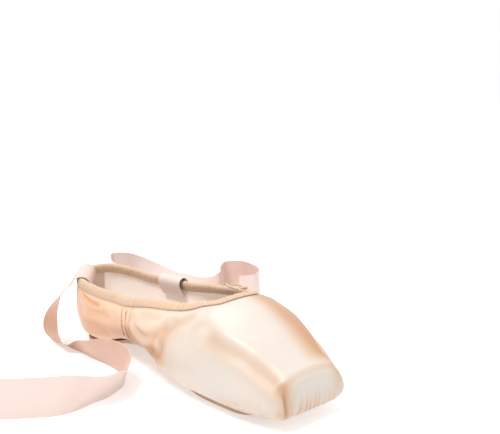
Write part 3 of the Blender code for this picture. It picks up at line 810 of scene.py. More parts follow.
@dataclass(frozen=True)
class Crease:
    """A soft trough, or a ridge where the depth is below zero, with a lower swell beside it and painted shade
    along its line.

    points are shares: distance behind the tip over the length, side over half the ball's width, height over
    the instep's. The depth falls off with the square of the distance over the width.
    """

    points: tuple[Colour, ...]
    depth: float
    width: float
    swell: float = 0.35
    tone_and_shade: float = 0.0
    mirrored: bool = True
    fade: float = 2.8
    swell_at: float = 2.1
    shade_spread: float = 0.6
    path_step: float = 4 * MM

    def distance(self, last: Last, points: Array, side: int) -> tuple[Array, Array]:
        """How far points are from the crease's line, and from the nearer one of its ends.

        Args:
            last: The shoe's form.
            points: Points on it.
            side: 1 for the line as given, -1 for it mirrored.

        Returns:
            Both distances.
        """
        scale = np.array([0.5 * last.ball_width * side, last.length, last.instep_height])
        line = np.array([(x, s, z) for s, x, z in self.points]) * scale
        line = smooth_path(line, self.path_step) if len(line) > 2 else line
        best = np.full(points.shape[:-1], 1.0)
        for a, b in zip(line[:-1], line[1:]):
            t = np.clip(((points - a) @ (b - a)) / ((b - a) @ (b - a)), 0.0, 1.0)
            best = np.minimum(best, np.linalg.norm(points - a - t[..., None] * (b - a), axis=-1))
        ends = [np.linalg.norm(points - end, axis=-1) for end in (line[0], line[-1])]
        return best, np.minimum(*ends)

    def relief(self, last: Last, points: Array) -> tuple[Array, Array]:
        """Height change and painted shade that the crease brings.

        Args:
            last: The shoe's form.
            points: Points on it.

        Returns:
            Heights in metres, below zero in the trough, and shares of painted shade.
        """
        height, colour = np.zeros(points.shape[:-1]), np.zeros(points.shape[:-1])
        for side in (1, -1) if self.mirrored else (1,):
            away, end = self.distance(last, points, side)
            gone, faded = away / self.width, smooth_step(end / self.width, 0.0, self.fade)
            swell = self.swell * np.exp(-(gone - self.swell_at) ** 2)
            height += faded * self.depth * (-np.exp(-gone ** 2) + swell)
            # painted shade, darkest on the crease's line
            colour += faded * self.tone_and_shade * np.exp(-(self.shade_spread * gone) ** 2)
        return height, colour


@dataclass
class Upper:
    """The satin upper over its stiff box, with its lining, seams, folds and pleats."""

    skin: Skin
    satin: SatinFinish
    lining: ClothFinish
    thread: ThreadFinish
    binding_width: float = 3.2 * MM
    pleats: int = 44
    pleat_depth: float = 1.0 * MM
    pleat_centre: float = 0.165
    pleat_height: float = 9 * MM
    seam_at: float = 0.585
    seam_rows: tuple[float, float] = (4.6 * MM, 10.2 * MM)
    seam_points: int = 19
    zigzag: float = 1.2 * MM
    inner_blush: float = 0.02
    quarter_starts: tuple[float, float] = (0.575, 0.6)
    wing_ends: tuple[float, float] = (0.36, 0.44)
    waves: float = 0.1 * MM
    deepest: float = 1.25 * MM
    highest: float = 1.2 * MM
    tape_half_turn: float = 0.26
    tape_foot: float = 15.5 * MM
    creases: tuple[Crease, ...] = (
        # the side seam's edge
        Crease(((0.572, -0.757, 0.76), (0.582, -0.818, 0.534), (0.592, -0.776, 0.361), (0.6, -0.68, 0.22)),
               0.50 * MM, 1.0 * MM, 0.5, 0.3),
        # the wing's edge, where the stiff box ends and the soft quarter starts
        Crease(((0.425, -0.93, 0.26), (0.412, -0.955, 0.349), (0.397, -0.97, 0.461), (0.384, -0.957, 0.577),
                (0.366, -0.909, 0.69), (0.339, -0.846, 0.767), (0.307, -0.751, 0.843), (0.285, -0.64, 0.9)),
               0.85 * MM, 3.0 * MM, 0.45, 0.36),
        # folds between the wing and the seam
        Crease(((0.56, -0.8, 0.6), (0.534, -0.859, 0.507), (0.485, -0.904, 0.494), (0.435, -0.932, 0.567),
                (0.399, -0.922, 0.651), (0.369, -0.867, 0.743)), 1.05 * MM, 2.6 * MM, 0.6, 0.34),
        Crease(((0.585, -0.76, 0.4), (0.56, -0.79, 0.3), (0.51, -0.87, 0.27), (0.443, -0.934, 0.388),
                (0.415, -0.95, 0.48)), 1.20 * MM, 3.6 * MM, 0.6, 1.0),
        Crease(((0.535, -0.84, 0.68), (0.5, -0.86, 0.71), (0.455, -0.89, 0.73), (0.41, -0.88, 0.765)),
               0.75 * MM, 2.6 * MM, 0.5, 0.16),
        # the box's long side ridge
        Crease(((0.249, -0.825, 0.756), (0.208, -0.799, 0.692), (0.169, -0.751, 0.645), (0.13, -0.689, 0.598),
                (0.092, -0.645, 0.535), (0.053, -0.612, 0.467), (0.018, -0.607, 0.403), (-0.025, -0.6, 0.33)),
               1.25 * MM, 3.8 * MM, 0.7, 0.62),
        # the platform's side crease
        Crease(((0.01, -0.575, 0.44), (0.005, -0.575, 0.37), (0.002, -0.578, 0.28), (0.002, -0.575, 0.05)),
               1.1 * MM, 1.0 * MM, 0.7, 0.8, False),
        # the platform's upper edge
        Crease(((0.01, -0.575, 0.405), (0.01, -0.38, 0.465), (0.01, -0.18, 0.486), (0.01, 0.02, 0.49),
                (0.01, 0.22, 0.484), (0.01, 0.42, 0.455), (0.012, 0.6, 0.395)),
               0.40 * MM, 1.3 * MM, 0.6, 0.32, False),
        # folds of the quarter and under the heel's binding
        Crease(((0.867, -0.704, 0.42), (0.814, -0.721, 0.455), (0.739, -0.745, 0.488),
                (0.678, -0.769, 0.498)), 0.75 * MM, 3.4 * MM, 0.5, 0.22),
        Crease(((0.88, -0.64, 0.64), (0.852, -0.691, 0.601), (0.807, -0.71, 0.58), (0.756, -0.729, 0.589)),
               0.95 * MM, 1.5 * MM, 0.5, 0.6),
        Crease(((0.93, -0.46, 0.3), (0.88, -0.66, 0.27), (0.8, -0.72, 0.31), (0.72, -0.76, 0.25)),
               0.60 * MM, 3.2 * MM, 0.5, 0.2),
        # the back seam
        Crease(((0.985, 0.0, 0.84), (1.0, 0.0, 0.6), (1.0, 0.0, 0.35), (0.985, 0.0, 0.12)),
               0.45 * MM, 0.8 * MM, 0.6, 0.25, False),
    )

    def folds(self, points: Array) -> tuple[Array, Array]:
        """Height change and painted shade that all the creases bring together."""
        reliefs = [crease.relief(self.skin.last, points) for crease in self.creases]
        return sum(height for height, _ in reliefs), sum(groove_shade for _, groove_shade in reliefs)

    def toe_pleats(self, points: Array) -> tuple[Array, Array]:
        """The pleats that fan out under the toe.

        Args:
            points: Points on the outside.

        Returns:
            Their depths in metres and their shares of painted shade, darkest in the grooves.
        """
        last = self.skin.last
        x, s, z = points[..., 0], points[..., 1], points[..., 2]
        angle = np.arctan2(x, self.pleat_centre * last.length - s)
        phase = self.pleats * (angle + 0.035 * np.sin(9.0 * angle + 1.0) + 0.02 * np.sin(23.0 * angle))
        groove = (1.0 - np.abs(np.sin(phase))) ** 1.6 * (0.75 + 0.25 * np.sin(5.0 * angle + 2.0))
        low_edge = np.exp(-(np.maximum(z - last.bottom(s), 0.0) / self.pleat_height) ** 2)
        round_toe = smooth_step(-np.abs(angle), -2.3, -1.6) * smooth_step(-s / last.length, -0.27, -0.16)
        here = low_edge * round_toe
        # painted shade, darkest in each pleat's groove
        return self.pleat_depth * groove * here, (0.2 + 0.8 * groove) * here

    def tones(self, points: Array) -> tuple[Array, Array]:
        """Tone of the satin's parts, partly its own peach and partly painted shade, and the painted shade of
        the far shoulder.

        Args:
            points: Points on the outside.

        Returns:
            Two sets of shares.
        """
        last = self.skin.last
        side = points[..., 0] / (0.5 * last.ball_width)
        at = points[..., 1] / last.length
        up = points[..., 2] / last.instep_height
        behind_seam, behind_wing = smooth_step(at, *self.quarter_starts), smooth_step(at, *self.wing_ends)
        # the quarter's deeper peach is partly the satin's own colour and partly painted shade
        quarter = behind_seam * (0.68 - 0.16 * smooth_step(at, 0.8, 0.96))
        middle = 0.36 * behind_wing * (1.0 - behind_seam)
        beside = smooth_step(np.abs(side), 0.5, 0.9)
        wing = 0.13 * smooth_step(at, 0.18, 0.36) * (1.0 - behind_wing) * beside
        low = 0.10 * (1.0 - smooth_step(up, 0.05, 0.3))
        # painted shade: the vamp's far shoulder darkens to tan where it turns from the light
        shoulder_shade = smooth_step(side, -0.04, 0.46) * smooth_step(up, 0.3, 0.5)
        shoulder_shade = shoulder_shade * smooth_step(at, 0.0, 0.05) * smooth_step(-at, -0.42, -0.3)
        return 0.04 + quarter + middle + wing + low, shoulder_shade

    def relief(self, points: Array) -> tuple[Array, Array, Array, Array]:
        """Height change, tone with painted shade, mattness and shade of the satin.

        Args:
            points: Points on the outside.

        Returns:
            Heights in metres and three sets of shares.
        """
        last = self.skin.last
        x, s, z = points[..., 0], points[..., 1], points[..., 2]
        height, fold_shade = self.folds(points)
        pleat, groove_shade = self.toe_pleats(points)
        fold_shade = fold_shade + groove_shade
        slow = np.sin(210.0 * s + 170.0 * z) + np.sin(330.0 * z - 120.0 * s + 1.3)
        height = height - pleat + self.waves * slow * smooth_step(s / last.length, 0.34, 0.48)
        height = np.clip(height, -self.deepest, self.highest)
        height *= smooth_step(self.skin.reach, self.binding_width + 0.6 * MM, self.binding_width + 5 * MM)
        off_tread = np.maximum(np.abs(x) - last.half_tread(s, 0.0), last.outsole_front - s)
        clear = smooth_step(np.maximum(off_tread, z - last.bottom(s)), 0.3 * MM, 3.0 * MM)
        tone, shoulder_shade = self.tones(points)
        platform = smooth_step(-s, -3.5 * MM, -1.2 * MM)
        # tone with painted shade: the creases', pleats' and far shoulder's shade on the parts' tones, paler
        # on the platform
        tone_and_shade = np.clip(tone + 0.5 * fold_shade + 0.6 * shoulder_shade - 0.04 * platform, 0.0, 1.0)
        shade = np.clip(fold_shade + 0.95 * shoulder_shade, 0.0, 1.0) * clear
        return height * clear, tone_and_shade, 0.35 * platform, shade

    def make(self) -> None:
        """The upper: outer rows up each rib, a rim, and every third inner row back down."""
        skin, last = self.skin, self.skin.last
        height, *shares = self.relief(skin.outer)
        inner = skin.inner()[:, ::-3]
        profile = np.concatenate([skin.outer + skin.normals * height[..., None], inner], axis=1)
        count, width = profile.shape[:2]
        within = (self.inner_blush, 0.0, 0.0)
        values = {name: np.concatenate([share, np.full(inner.shape[:2], inside)], axis=1)
                  for name, share, inside in zip(("tone_and_shade", "matte", "shade"), shares, within)}
        column = np.tile(np.arange(width), count)
        piece = make_piece("satin_upper", last.placed(profile), grid_quads(count, width, True, True),
                           [self.satin.make(), self.lining.make()], values,
                           (column >= skin.rows - 1).astype(int))
        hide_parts("upper")

    def surface(self, side: Side, s: Array, z: Array) -> tuple[Array, Array]:
        """Points on the finished outside of one side, and their normals.

        Args:
            side: Which side.
            s: Distances behind the tip.
            z: Heights.

        Returns:
            The points and the normals.
        """
        points = self.skin.last.at_side(side, s, z)
        normals = self.skin.last.normals(points)
        return points + normals * np.clip(self.folds(points)[0], 0.0, self.highest)[..., None], normals

    def seam_stitches(self) -> None:
        """Two zigzag rows behind each side seam, as points that swing round a line on the surface."""
        last = self.skin.last
        look = self.thread.make()
        share = np.linspace(0.0, 1.0, self.seam_points)
        swing = self.zigzag * (-1.0) ** np.arange(self.seam_points)
        for side in Side:
            for row, back in enumerate(self.seam_rows):
                z = last.instep_height * (0.680 - 0.33 * share)
                s = last.length * self.seam_at + back + self.zigzag * share + swing
                points, normals = self.surface(side, s, z)
                Stitches(points[:-1], points[1:], normals[:-1], 0.30 * MM).make(
                    f"side_seam_stitches_{side.name.lower()}_{row}", look, last, "satin")

    def back_tape(self) -> None:
        """Ribbed tape over the back seam inside: rows down the wall, columns round it."""
        last = self.skin.last
        look = ClothFinish("back_seam_tape", (0.66, 0.52, 0.45), (0.58, 0.4, 0.33), 1900.0).make()
        down, turn = np.meshgrid(np.linspace(0.0, 1.0, 40), np.linspace(-1.0, 1.0, 25), indexing="ij")
        angle = turn * self.tape_half_turn
        top = last.heel_height - 4.2 * MM
        height = top + (self.tape_foot - top) * down
        centre = np.full_like(height, last.length - last.heel_round)
        centres = np.stack([np.zeros_like(height), centre, height], -1)
        skin_points = last.cast(centres, np.stack([np.sin(angle), np.cos(angle), np.zeros_like(angle)], -1))
        normals = last.normals(skin_points)
        off = last.wall(skin_points[..., 1]) + 0.25 * MM
        seams = np.abs(np.abs(turn) - 0.8) < 0.06
        ribs = 0.12 * MM * np.cos(turn * 26.0) + 0.10 * MM * seams
        back = skin_points - normals * off[..., None]
        front = back - normals * (0.5 * MM + ribs)[..., None]
        profile = np.concatenate([back, front[:, ::-1]], axis=1)
        make_sweep("back_seam_tape", last.placed(profile), look,
                   {"tone_and_shade": np.full(profile.shape[:2], 0.4)})


@dataclass(frozen=True)
class Stitches:
    """A row of sewn stitches: the same short rounded bar laid from each start to each end."""

    starts: Array
    ends: Array
    normals: Array
    radius: float
    stations: int = 7
    sides: int = 6

    def make(self, name: str, look: Material, last: Last, slot: str) -> None:
        """Carry a six-sided profile along each stitch, thin and sunk at its ends and proud in its middle.

        Args:
            name: The piece's name.
            look: The thread.
            last: The shoe's form, which places the points.
            slot: The material slot's name; not used.
        """
        along = np.linspace(0.0, 1.0, self.stations)
        round_end = np.sqrt(np.clip(1.0 - (2.0 * along - 1.0) ** 4, 0.06, 1.0))
        turn = np.linspace(0.0, 2.0 * math.pi, self.sides, endpoint=False)
        run = self.ends - self.starts
        across = unit(np.cross(run, self.normals))
        centre = self.starts[:, None] + run[:, None] * along[None, :, None]
        centre = centre + self.normals[:, None] * (self.radius * (1.3 * round_end - 0.6))[None, :, None]
        ring = (across[:, None, None] * np.cos(turn)[None, None, :, None]
                + self.normals[:, None, None] * np.sin(turn)[None, None, :, None])
        points = centre[:, :, None] + ring * (self.radius * round_end)[None, :, None, None]
        quads = grid_quads(self.stations, self.sides, False, True)
        first = np.arange(len(run)) * self.stations * self.sides
        faces = [*(quads[None] + first[:, None, None]).reshape(-1, 4)]
        faces += [tuple(f + c for c in cap) for f in first for cap in end_caps(self.stations, self.sides)]
        make_piece(name, last.placed(points), faces, [look])


@dataclass
class CollarBinding:
    """Cotton casing over the rim, gathered by its drawstring, with the line of stitches that holds it."""

    skin: Skin
    tape: ClothFinish
    thread: ThreadFinish
    width: float = 3.2 * MM
    inner_width: float = 3.4 * MM
    thickness: float = 0.8 * MM
    gap: float = 0.4 * MM
    channel: float = 1.4 * MM
    pucker: float = 0.30 * MM
    leg_points: int = 10
    bead_points: int = 9
    stitch_pitch: float = 2.6 * MM
    stitch_length: float = 1.7 * MM

    def round_trip(self) -> Array:
        """Distance along the rim at each rib."""
        rim = self.skin.outer[:, -1]
        return np.cumsum(np.linalg.norm(rim - np.roll(rim, 1, axis=0), axis=1))

    def puckers(self, along: Array) -> Array:
        """Gathers: three waves of about 3, 5 and 8 mm whose phases wander.

        Args:
            along: Distance along the rim at each rib.

        Returns:
            Numbers from -1 to 1.
        """
        def whole(pitch: float) -> Array:
            """Angles of a wave that comes back to its start round the rim."""
            return 2.0 * math.pi * round(along[-1] / pitch) * along / along[-1]

        wander = 1.2 * np.sin(whole(41 * MM)) + 0.8 * np.sin(whole(67 * MM) + 1.0)
        return (0.45 * np.sin(whole(3.1 * MM) + wander) + 0.35 * np.sin(whole(4.9 * MM) - 1.4 * wander)
                + 0.20 * np.sin(whole(8.3 * MM) + wander))

    def make(self) -> Array:
        """The casing: for each rib an outer leg, a round channel on the rim and an inner leg.

        Returns:
            Points of the stitch line on the outer leg with their normals.
        """
        skin, last = self.skin, self.skin.last
        outside = np.linspace(self.width, 0.0, self.leg_points)
        outer, outward = skin.below_rim(outside)
        inner, inward = skin.below_rim(np.linspace(0.0, self.inner_width, 7)[1:])
        rim, lift, away = outer[:, -1], unit(outer[:, -1] - outer[:, -4]), outward[:, -1]
        wall = last.wall(rim[:, 1])[:, None, None]
        gather = self.puckers(self.round_trip())[:, None]
        leg = np.clip(1.0 - outside / self.width, 0.0, 1.0)
        hem = np.exp(-(outside / (0.35 * self.width) - 2.857) ** 2)
        swell = self.thickness * (0.62 + 0.38 * np.sin(0.5 * math.pi * leg)) - 0.18 * MM * hem
        face = outer + outward * (self.gap + swell + self.pucker * gather * (0.35 + 0.65 * leg))[..., None]
        turn = np.radians(np.linspace(12.0, 168.0, self.bead_points))
        across = 0.5 * wall[:, 0] + self.gap + self.thickness + self.pucker * gather * 0.9
        tall = self.gap + 2.0 * self.channel + self.pucker * 1.2 * gather
        base = rim - away * 0.5 * wall[:, 0]
        bead = (base[:, None] + away[:, None] * (across * np.cos(turn))[..., None]
                + lift[:, None] * (tall * np.sin(turn) ** 0.75)[..., None])
        sunk = wall + self.gap + self.thickness * 0.9 + (self.pucker * 0.5 * gather)[..., None]
        lining = inner - inward * sunk
        lining_back = (inner - inward * (wall + self.gap * 0.8))[:, ::-1]
        back = (outer + outward * self.gap * 0.8)[:, ::-1]
        crown = np.stack([back[:, 0] + lift * self.gap * 0.8], 1)
        crown_inner = crown - away[:, None] * (wall + self.gap * 1.6)
        profile = np.concatenate([face, bead, lining, lining_back, crown_inner, crown, back], axis=1)
        count, width = profile.shape[:2]
        tone_and_shade = np.full((count, width), 0.5)
        # painted shade and light: darker where the gathers sink in, paler where they stand out
        tone_and_shade[:, :self.leg_points] = 0.42 - 0.30 * gather
        tone_and_shade[:, self.leg_points:self.leg_points + self.bead_points] = 0.30 - 0.30 * gather
        tone_and_shade[:, :2] += 0.30
        piece = make_piece("collar_casing", last.placed(profile), grid_quads(count, width, True, True),
                           [self.tape.make()], {"tone_and_shade": np.clip(tone_and_shade, 0.0, 1.0)})
        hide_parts("collar_binding")
        return np.stack([face[:, 1], outward[:, 1]])

    def stitch(self, line: Array) -> None:
        """Short even stitches along the casing's lower edge.

        Args:
            line: Points and normals on the casing.
        """
        closed, around = (np.vstack([rows, rows[:1]]) for rows in line)
        reached = run_length(closed)
        count = int(reached[-1] / self.stitch_pitch)
        at = np.arange(count) * reached[-1] / count
        starts, ends, normals = (
            np.stack([np.interp(place, reached, rows[:, c]) for c in range(3)], 1)
            for rows, place in ((closed, at), (closed, at + self.stitch_length), (around, at)))
        Stitches(starts, ends, unit(normals), 0.2 * MM).make(
            "casing_stitches", self.thread.make(), self.skin.last, "tape")


@dataclass
class Outsole:
    """Leather sole: a plate with a rounded lower edge, a groove along its rim, and a rubbed tread."""

    last: Last
    hide: HideFinish
    bevel: float = 0.9 * MM
    tip: float = 0.35 * MM

    def make(self) -> None:
        """The sole, as half widths along the shoe times a profile across it."""
        last = self.last
        s = eased(last.outsole_front + self.tip, last.length - last.outsole_back - self.tip, 200)
        half = last.half_tread(s, 0.0)[:, None]
        top = (last.bottom(s) - last.seat_gap)[:, None]
        share = np.sin(0.5 * math.pi * np.linspace(-1.0, 1.0, 33))
        aside, along = half * share, np.broadcast_to(s[:, None], (len(s), len(share)))
        from_edge = half - np.abs(share) * half
        gone = np.clip(1.0 - from_edge / self.bevel, 0.0, 1.0)
        low = top - last.outsole_thickness + self.bevel * (1.0 - np.sqrt(1.0 - 0.96 * gone ** 2))
        low = low + 0.25 * MM * np.exp(-((from_edge - 2.6 * MM) / (0.45 * MM)) ** 2)
        upper = np.stack([aside, along, top * np.ones_like(share)], -1)
        lower = np.stack([aside, along, low], -1)[:, ::-1]
        rubbed = 0.35 + 0.25 * np.exp(-(low[:, ::-1] / (1.2 * MM)) ** 2)
        tone_and_shade = np.concatenate([np.full(aside.shape, 0.7), rubbed], axis=1)
        piece = make_sweep("leather_sole", last.placed(np.concatenate([upper, lower], axis=1)),
                           self.hide.make(), {"tone_and_shade": tone_and_shade})
        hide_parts("outsole")


@dataclass
class Insole:
    """Suede board inside: a thin plate with a soft upper edge, from wall to wall."""

    skin: Skin
    hide: HideFinish
    thickness: float = 1.6 * MM
    clearance: float = 2.1 * MM
    soft_drop: float = 0.45 * MM
    soft_width: float = 1.5 * MM

    def outline(self, lift: float) -> Array:
        """The outline of the space inside the wall.

        Args:
            lift: Height over the turned-in edge.

        Returns:
            Rows of distance behind the tip and half width.
        """
        last = self.skin.last
        inner = self.skin.inner()
        x, s, z = inner[..., 0], inner[..., 1], inner[..., 2]
        over = z - (last.bottom(s) + last.wall(s) + last.seat_gap + lift)
        edge = Skin.read(inner, Skin.rise(over, np.zeros(len(inner))))
        left = edge[edge[:, 0] >= -1e-9]
        return left[np.argsort(left[:, 1])][:, [1, 0]]

    def make(self) -> None:
        """The board, as half widths along the shoe times a profile across it."""
        last = self.skin.last
        low_edge, high_edge = self.outline(0.0), self.outline(self.thickness)
        s = eased(low_edge[0, 0] + self.clearance, low_edge[-1, 0] - self.clearance, 180)
        low_half = np.interp(s, *low_edge.T) - self.clearance
        high_half = np.maximum(np.interp(s, *high_edge.T) - self.clearance, low_half)[:, None]
        share = np.sin(0.5 * math.pi * np.linspace(-1.0, 1.0, 31))
        from_edge = high_half * (1.0 - np.abs(share))
        soft = self.soft_drop * np.clip(1.0 - from_edge / self.soft_width, 0.0, 1.0) ** 2
        along = np.broadcast_to(s[:, None], soft.shape)
        low = np.broadcast_to((last.bottom(s) + last.wall(s) + last.seat_gap)[:, None], soft.shape)
        upper = np.stack([high_half * share, along, low + self.thickness - soft], -1)
        lower = np.stack([low_half[:, None] * share, along, low], -1)[:, ::-1]
        edge = np.clip(1.0 - from_edge / (1.6 * MM), 0.0, 1.0)
        tone_and_shade = np.concatenate([0.55 - 0.5 * edge, np.full(soft.shape, 0.5)], axis=1)
        piece = make_sweep("suede_insole", last.placed(np.concatenate([upper, lower], axis=1)),
                           self.hide.make(), {"tone_and_shade": tone_and_shade})
        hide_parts("insole")


@dataclass
class Ribbon:
    """A satin ribbon: sewn in below the collar, over the casing, and laid on the floor in soft bends.

    rows: side over half the ball's width, distance behind the tip over the length, lift over the heel's
    height, and the direction across the ribbon. tones: distance from the sewn end in metres and tone, painted
    shade where the ribbon turns its face from the light.
    """

    skin: Skin
    side: Side
    crosses_at: float
    bulge: float
    rows: Array
    satin: SatinFinish
    width: float = 24 * MM
    thickness: float = 0.6 * MM
    inside: float = 9 * MM
    rim_dip: float = 1.5 * MM
    binding: float = 1.2 * MM
    channel: float = 3.2 * MM
    square: float = 0.3
    spacing: float = 1.4 * MM
    places: int = 13
    back_shade_share: float = 0.45
    shade_starts: float = 0.35
    shade_gain: float = 1.55
    tones: tuple[tuple[float, float], ...] = ((0.0, 0.3), (1.0, 0.3))

    def over_rim(self) -> tuple[Array, Array]:
        """The stations from the sewn end to the far side of the casing.

        Returns:
            Their middles and their cross directions.
        """
        last, gap = self.skin.last, 0.3 * MM + self.thickness
        tops = self.skin.outer[:, -1]
        away = np.abs(tops[:, 1] - self.crosses_at * last.length) + (tops[:, 0] * self.side.value < 0) * 1.0
        k = int(np.argmin(away))
        (rim, high, low), _ = (a[k] for a in self.skin.below_rim(np.array([0.0, 0.5, 1.0]) * self.inside))
        outward = last.normals(rim)
        up = unit(rim - self.skin.below_rim(np.array([3.0 * MM]))[0][k, 0])
        onward = tops[(k + 1) % len(tops)] - tops[k - 1]
        onward = unit(onward - outward * (onward @ outward))
        wall = float(last.wall(rim[1]))
        radius = 0.5 * wall + self.binding + gap + 0.5 * self.bulge
        centre = rim - outward * 0.5 * (wall + self.bulge) + up * (self.channel + gap - radius + self.rim_dip)
        turn = np.radians(np.linspace(0.0, 180.0, 7))[:, None]
        over = centre - outward * radius * np.cos(turn) + up * radius * np.sin(turn)
        sewn = np.stack([low - last.normals(low) * (wall + gap + self.bulge),
                         high - last.normals(high) * (wall + gap + self.binding + self.bulge)])
        stations = np.concatenate([sewn, over])
        return stations, np.tile(-onward * self.side.value, (len(stations), 1))

    def make(self, name: str, node: str) -> None:
        """The ribbon: a thin wavy band carried along its route, a grid of stations by places across.

        Args:
            name: The piece's name.
            node: The solid that it replaces.
        """
        last = self.skin.last
        across = unit(self.rows[:, 3:])
        standing = 0.5 * self.width * np.abs(across[:, 2]) + 0.3 * MM
        middles = self.rows[:, :3] * (0.5 * last.ball_width, last.length, last.heel_height)
        middles[:, 2] += standing
        start, start_across = self.over_rim()
        route = np.hstack([np.vstack([start, middles]), np.vstack([start_across, across])])
        path = smooth_path(route, self.spacing)
        middle, cross = path[:, :3], path[:, 3:]
        tangent = unit(np.gradient(middle, axis=0))
        cross = unit(cross - self.square * tangent * np.sum(cross * tangent, axis=1, keepdims=True))
        face = unit(np.cross(tangent, cross))[:, None]
        run = np.arange(len(path)) * self.spacing
        share = np.linspace(-1.0, 1.0, self.places)
        free = smooth_step(run, 0.045, 0.075)[:, None]
        ripple = (0.35 * MM * np.sin(run * 170.0)[:, None] * share
                  + 0.30 * MM * np.sin(run * 95.0 + 1.0)[:, None] * np.cos(2.2 * share))
        cup = 0.8 * MM * np.sin(run * 26.0 + 0.7)[:, None] * (share ** 2 - 0.35)
        aside = cross[:, None] * (0.5 * self.width * share)[None, :, None]
        sheet = middle[:, None] + aside + face * (free * (ripple + cup))[..., None]
        edge = (0.15 * MM + 0.08 * MM * (np.abs(share) > 0.9))[None, :, None]
        profile = np.concatenate([sheet + face * edge, (sheet - face * edge)[:, ::-1]], axis=1)
        profile[..., 2] += np.maximum(0.0, 0.1 * MM - profile[..., 2].min(axis=1))[:, None]
        # painted shade along the ribbon from its tones, with a slow wave of the satin's own tone
        deep = np.interp(run, *np.array(self.tones).T) + 0.06 * np.sin(run * 40.0)
        # the back face takes a smaller share of the painted shade
        tone = deep[:, None] * np.repeat([[1.0, self.back_shade_share]], self.places, axis=1)
        shade = self.shade_gain * np.clip(tone - self.shade_starts, 0.0, 1.0 - self.shade_starts)
        piece = make_sweep(name, last.placed(profile), self.satin.make(),
                           {"tone_and_shade": tone, "matte": np.zeros(tone.shape), "shade": shade})
        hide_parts(node)


@dataclass
class Drawstring:
    """The casing's cord, tied in an overhand knot at the throat, with its two short ends."""

    skin: Skin
    thread: ThreadFinish
    diameter: float = 1.5 * MM
    knot: float = 3.2 * MM
    tail: float = 6 * MM
    channel: float = 1.4 * MM
    aside: float = 7 * MM

    def make(self) -> None:
        """The cord as a curve: a three-leaved knot opened at its foot, where the two ends leave."""
        last = self.skin.last
        tops = self.skin.outer[:, -1]
        k = int(np.argmin(np.abs(tops[:, 0] - self.aside) + (tops[:, 1] > last.toe_centre * last.length)))
        rim = tops[k]
        up = unit(rim - self.skin.below_rim(np.array([3.0 * MM]))[0][k, 0])
        outward = last.normals(rim)
        centre = (rim + up * (0.3 * MM + 2 * self.channel + 0.5 * self.knot)
                  + outward * (self.diameter + 0.9 * MM))
        turn = np.linspace(math.pi + 0.62, 3 * math.pi - 0.62, 30)
        scale, tail = self.knot / 3.0, self.tail
        leaves = np.stack([scale * (np.sin(turn) + 2 * np.sin(2 * turn)),
                           scale * (np.cos(turn) - 2 * np.cos(2 * turn)),
                           -0.62 * self.diameter * np.sin(3 * turn)], 1)
        first = [(1.9 * scale + 0.42 * tail, -3.0 * scale - 0.85 * tail, -0.20 * tail),
                 (2.2 * scale + 0.20 * tail, -3.0 * scale - 0.45 * tail, -0.05 * tail)]
        other = [(-2.2 * scale - 0.20 * tail, -3.0 * scale - 0.45 * tail, 0.05 * tail),
                 (-1.6 * scale - 0.45 * tail, -3.0 * scale - 0.80 * tail, 0.20 * tail)]
        local = smooth_path(np.vstack([first, leaves, other]), 0.6 * MM)
        right = np.array([1.0, 0.0, 0.0])
        path = centre + local[:, :1] * right - local[:, 1:2] * up + local[:, 2:] * outward
        path = last.placed(path)
        curve = bpy.data.curves.new("drawstring_cord", "CURVE")
        curve.dimensions = "3D"
        curve.bevel_depth = 0.5 * self.diameter
        curve.bevel_resolution = 4
        curve.use_fill_caps = True
        spline = curve.splines.new("POLY")
        spline.points.add(len(path) - 1)
        spline.points.foreach_set("co", np.pad(path, ((0, 0), (0, 1)), constant_values=1.0).ravel())
        curve.materials.append(self.thread.make())
        piece = put("drawstring_cord", curve)
        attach(piece, "root")
        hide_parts("drawstring_knot")
        length = float(np.linalg.norm(np.diff(path, axis=0), axis=1).sum())
        LOG.info("drawstring_cord: %.0f mm long", 1000 * length)


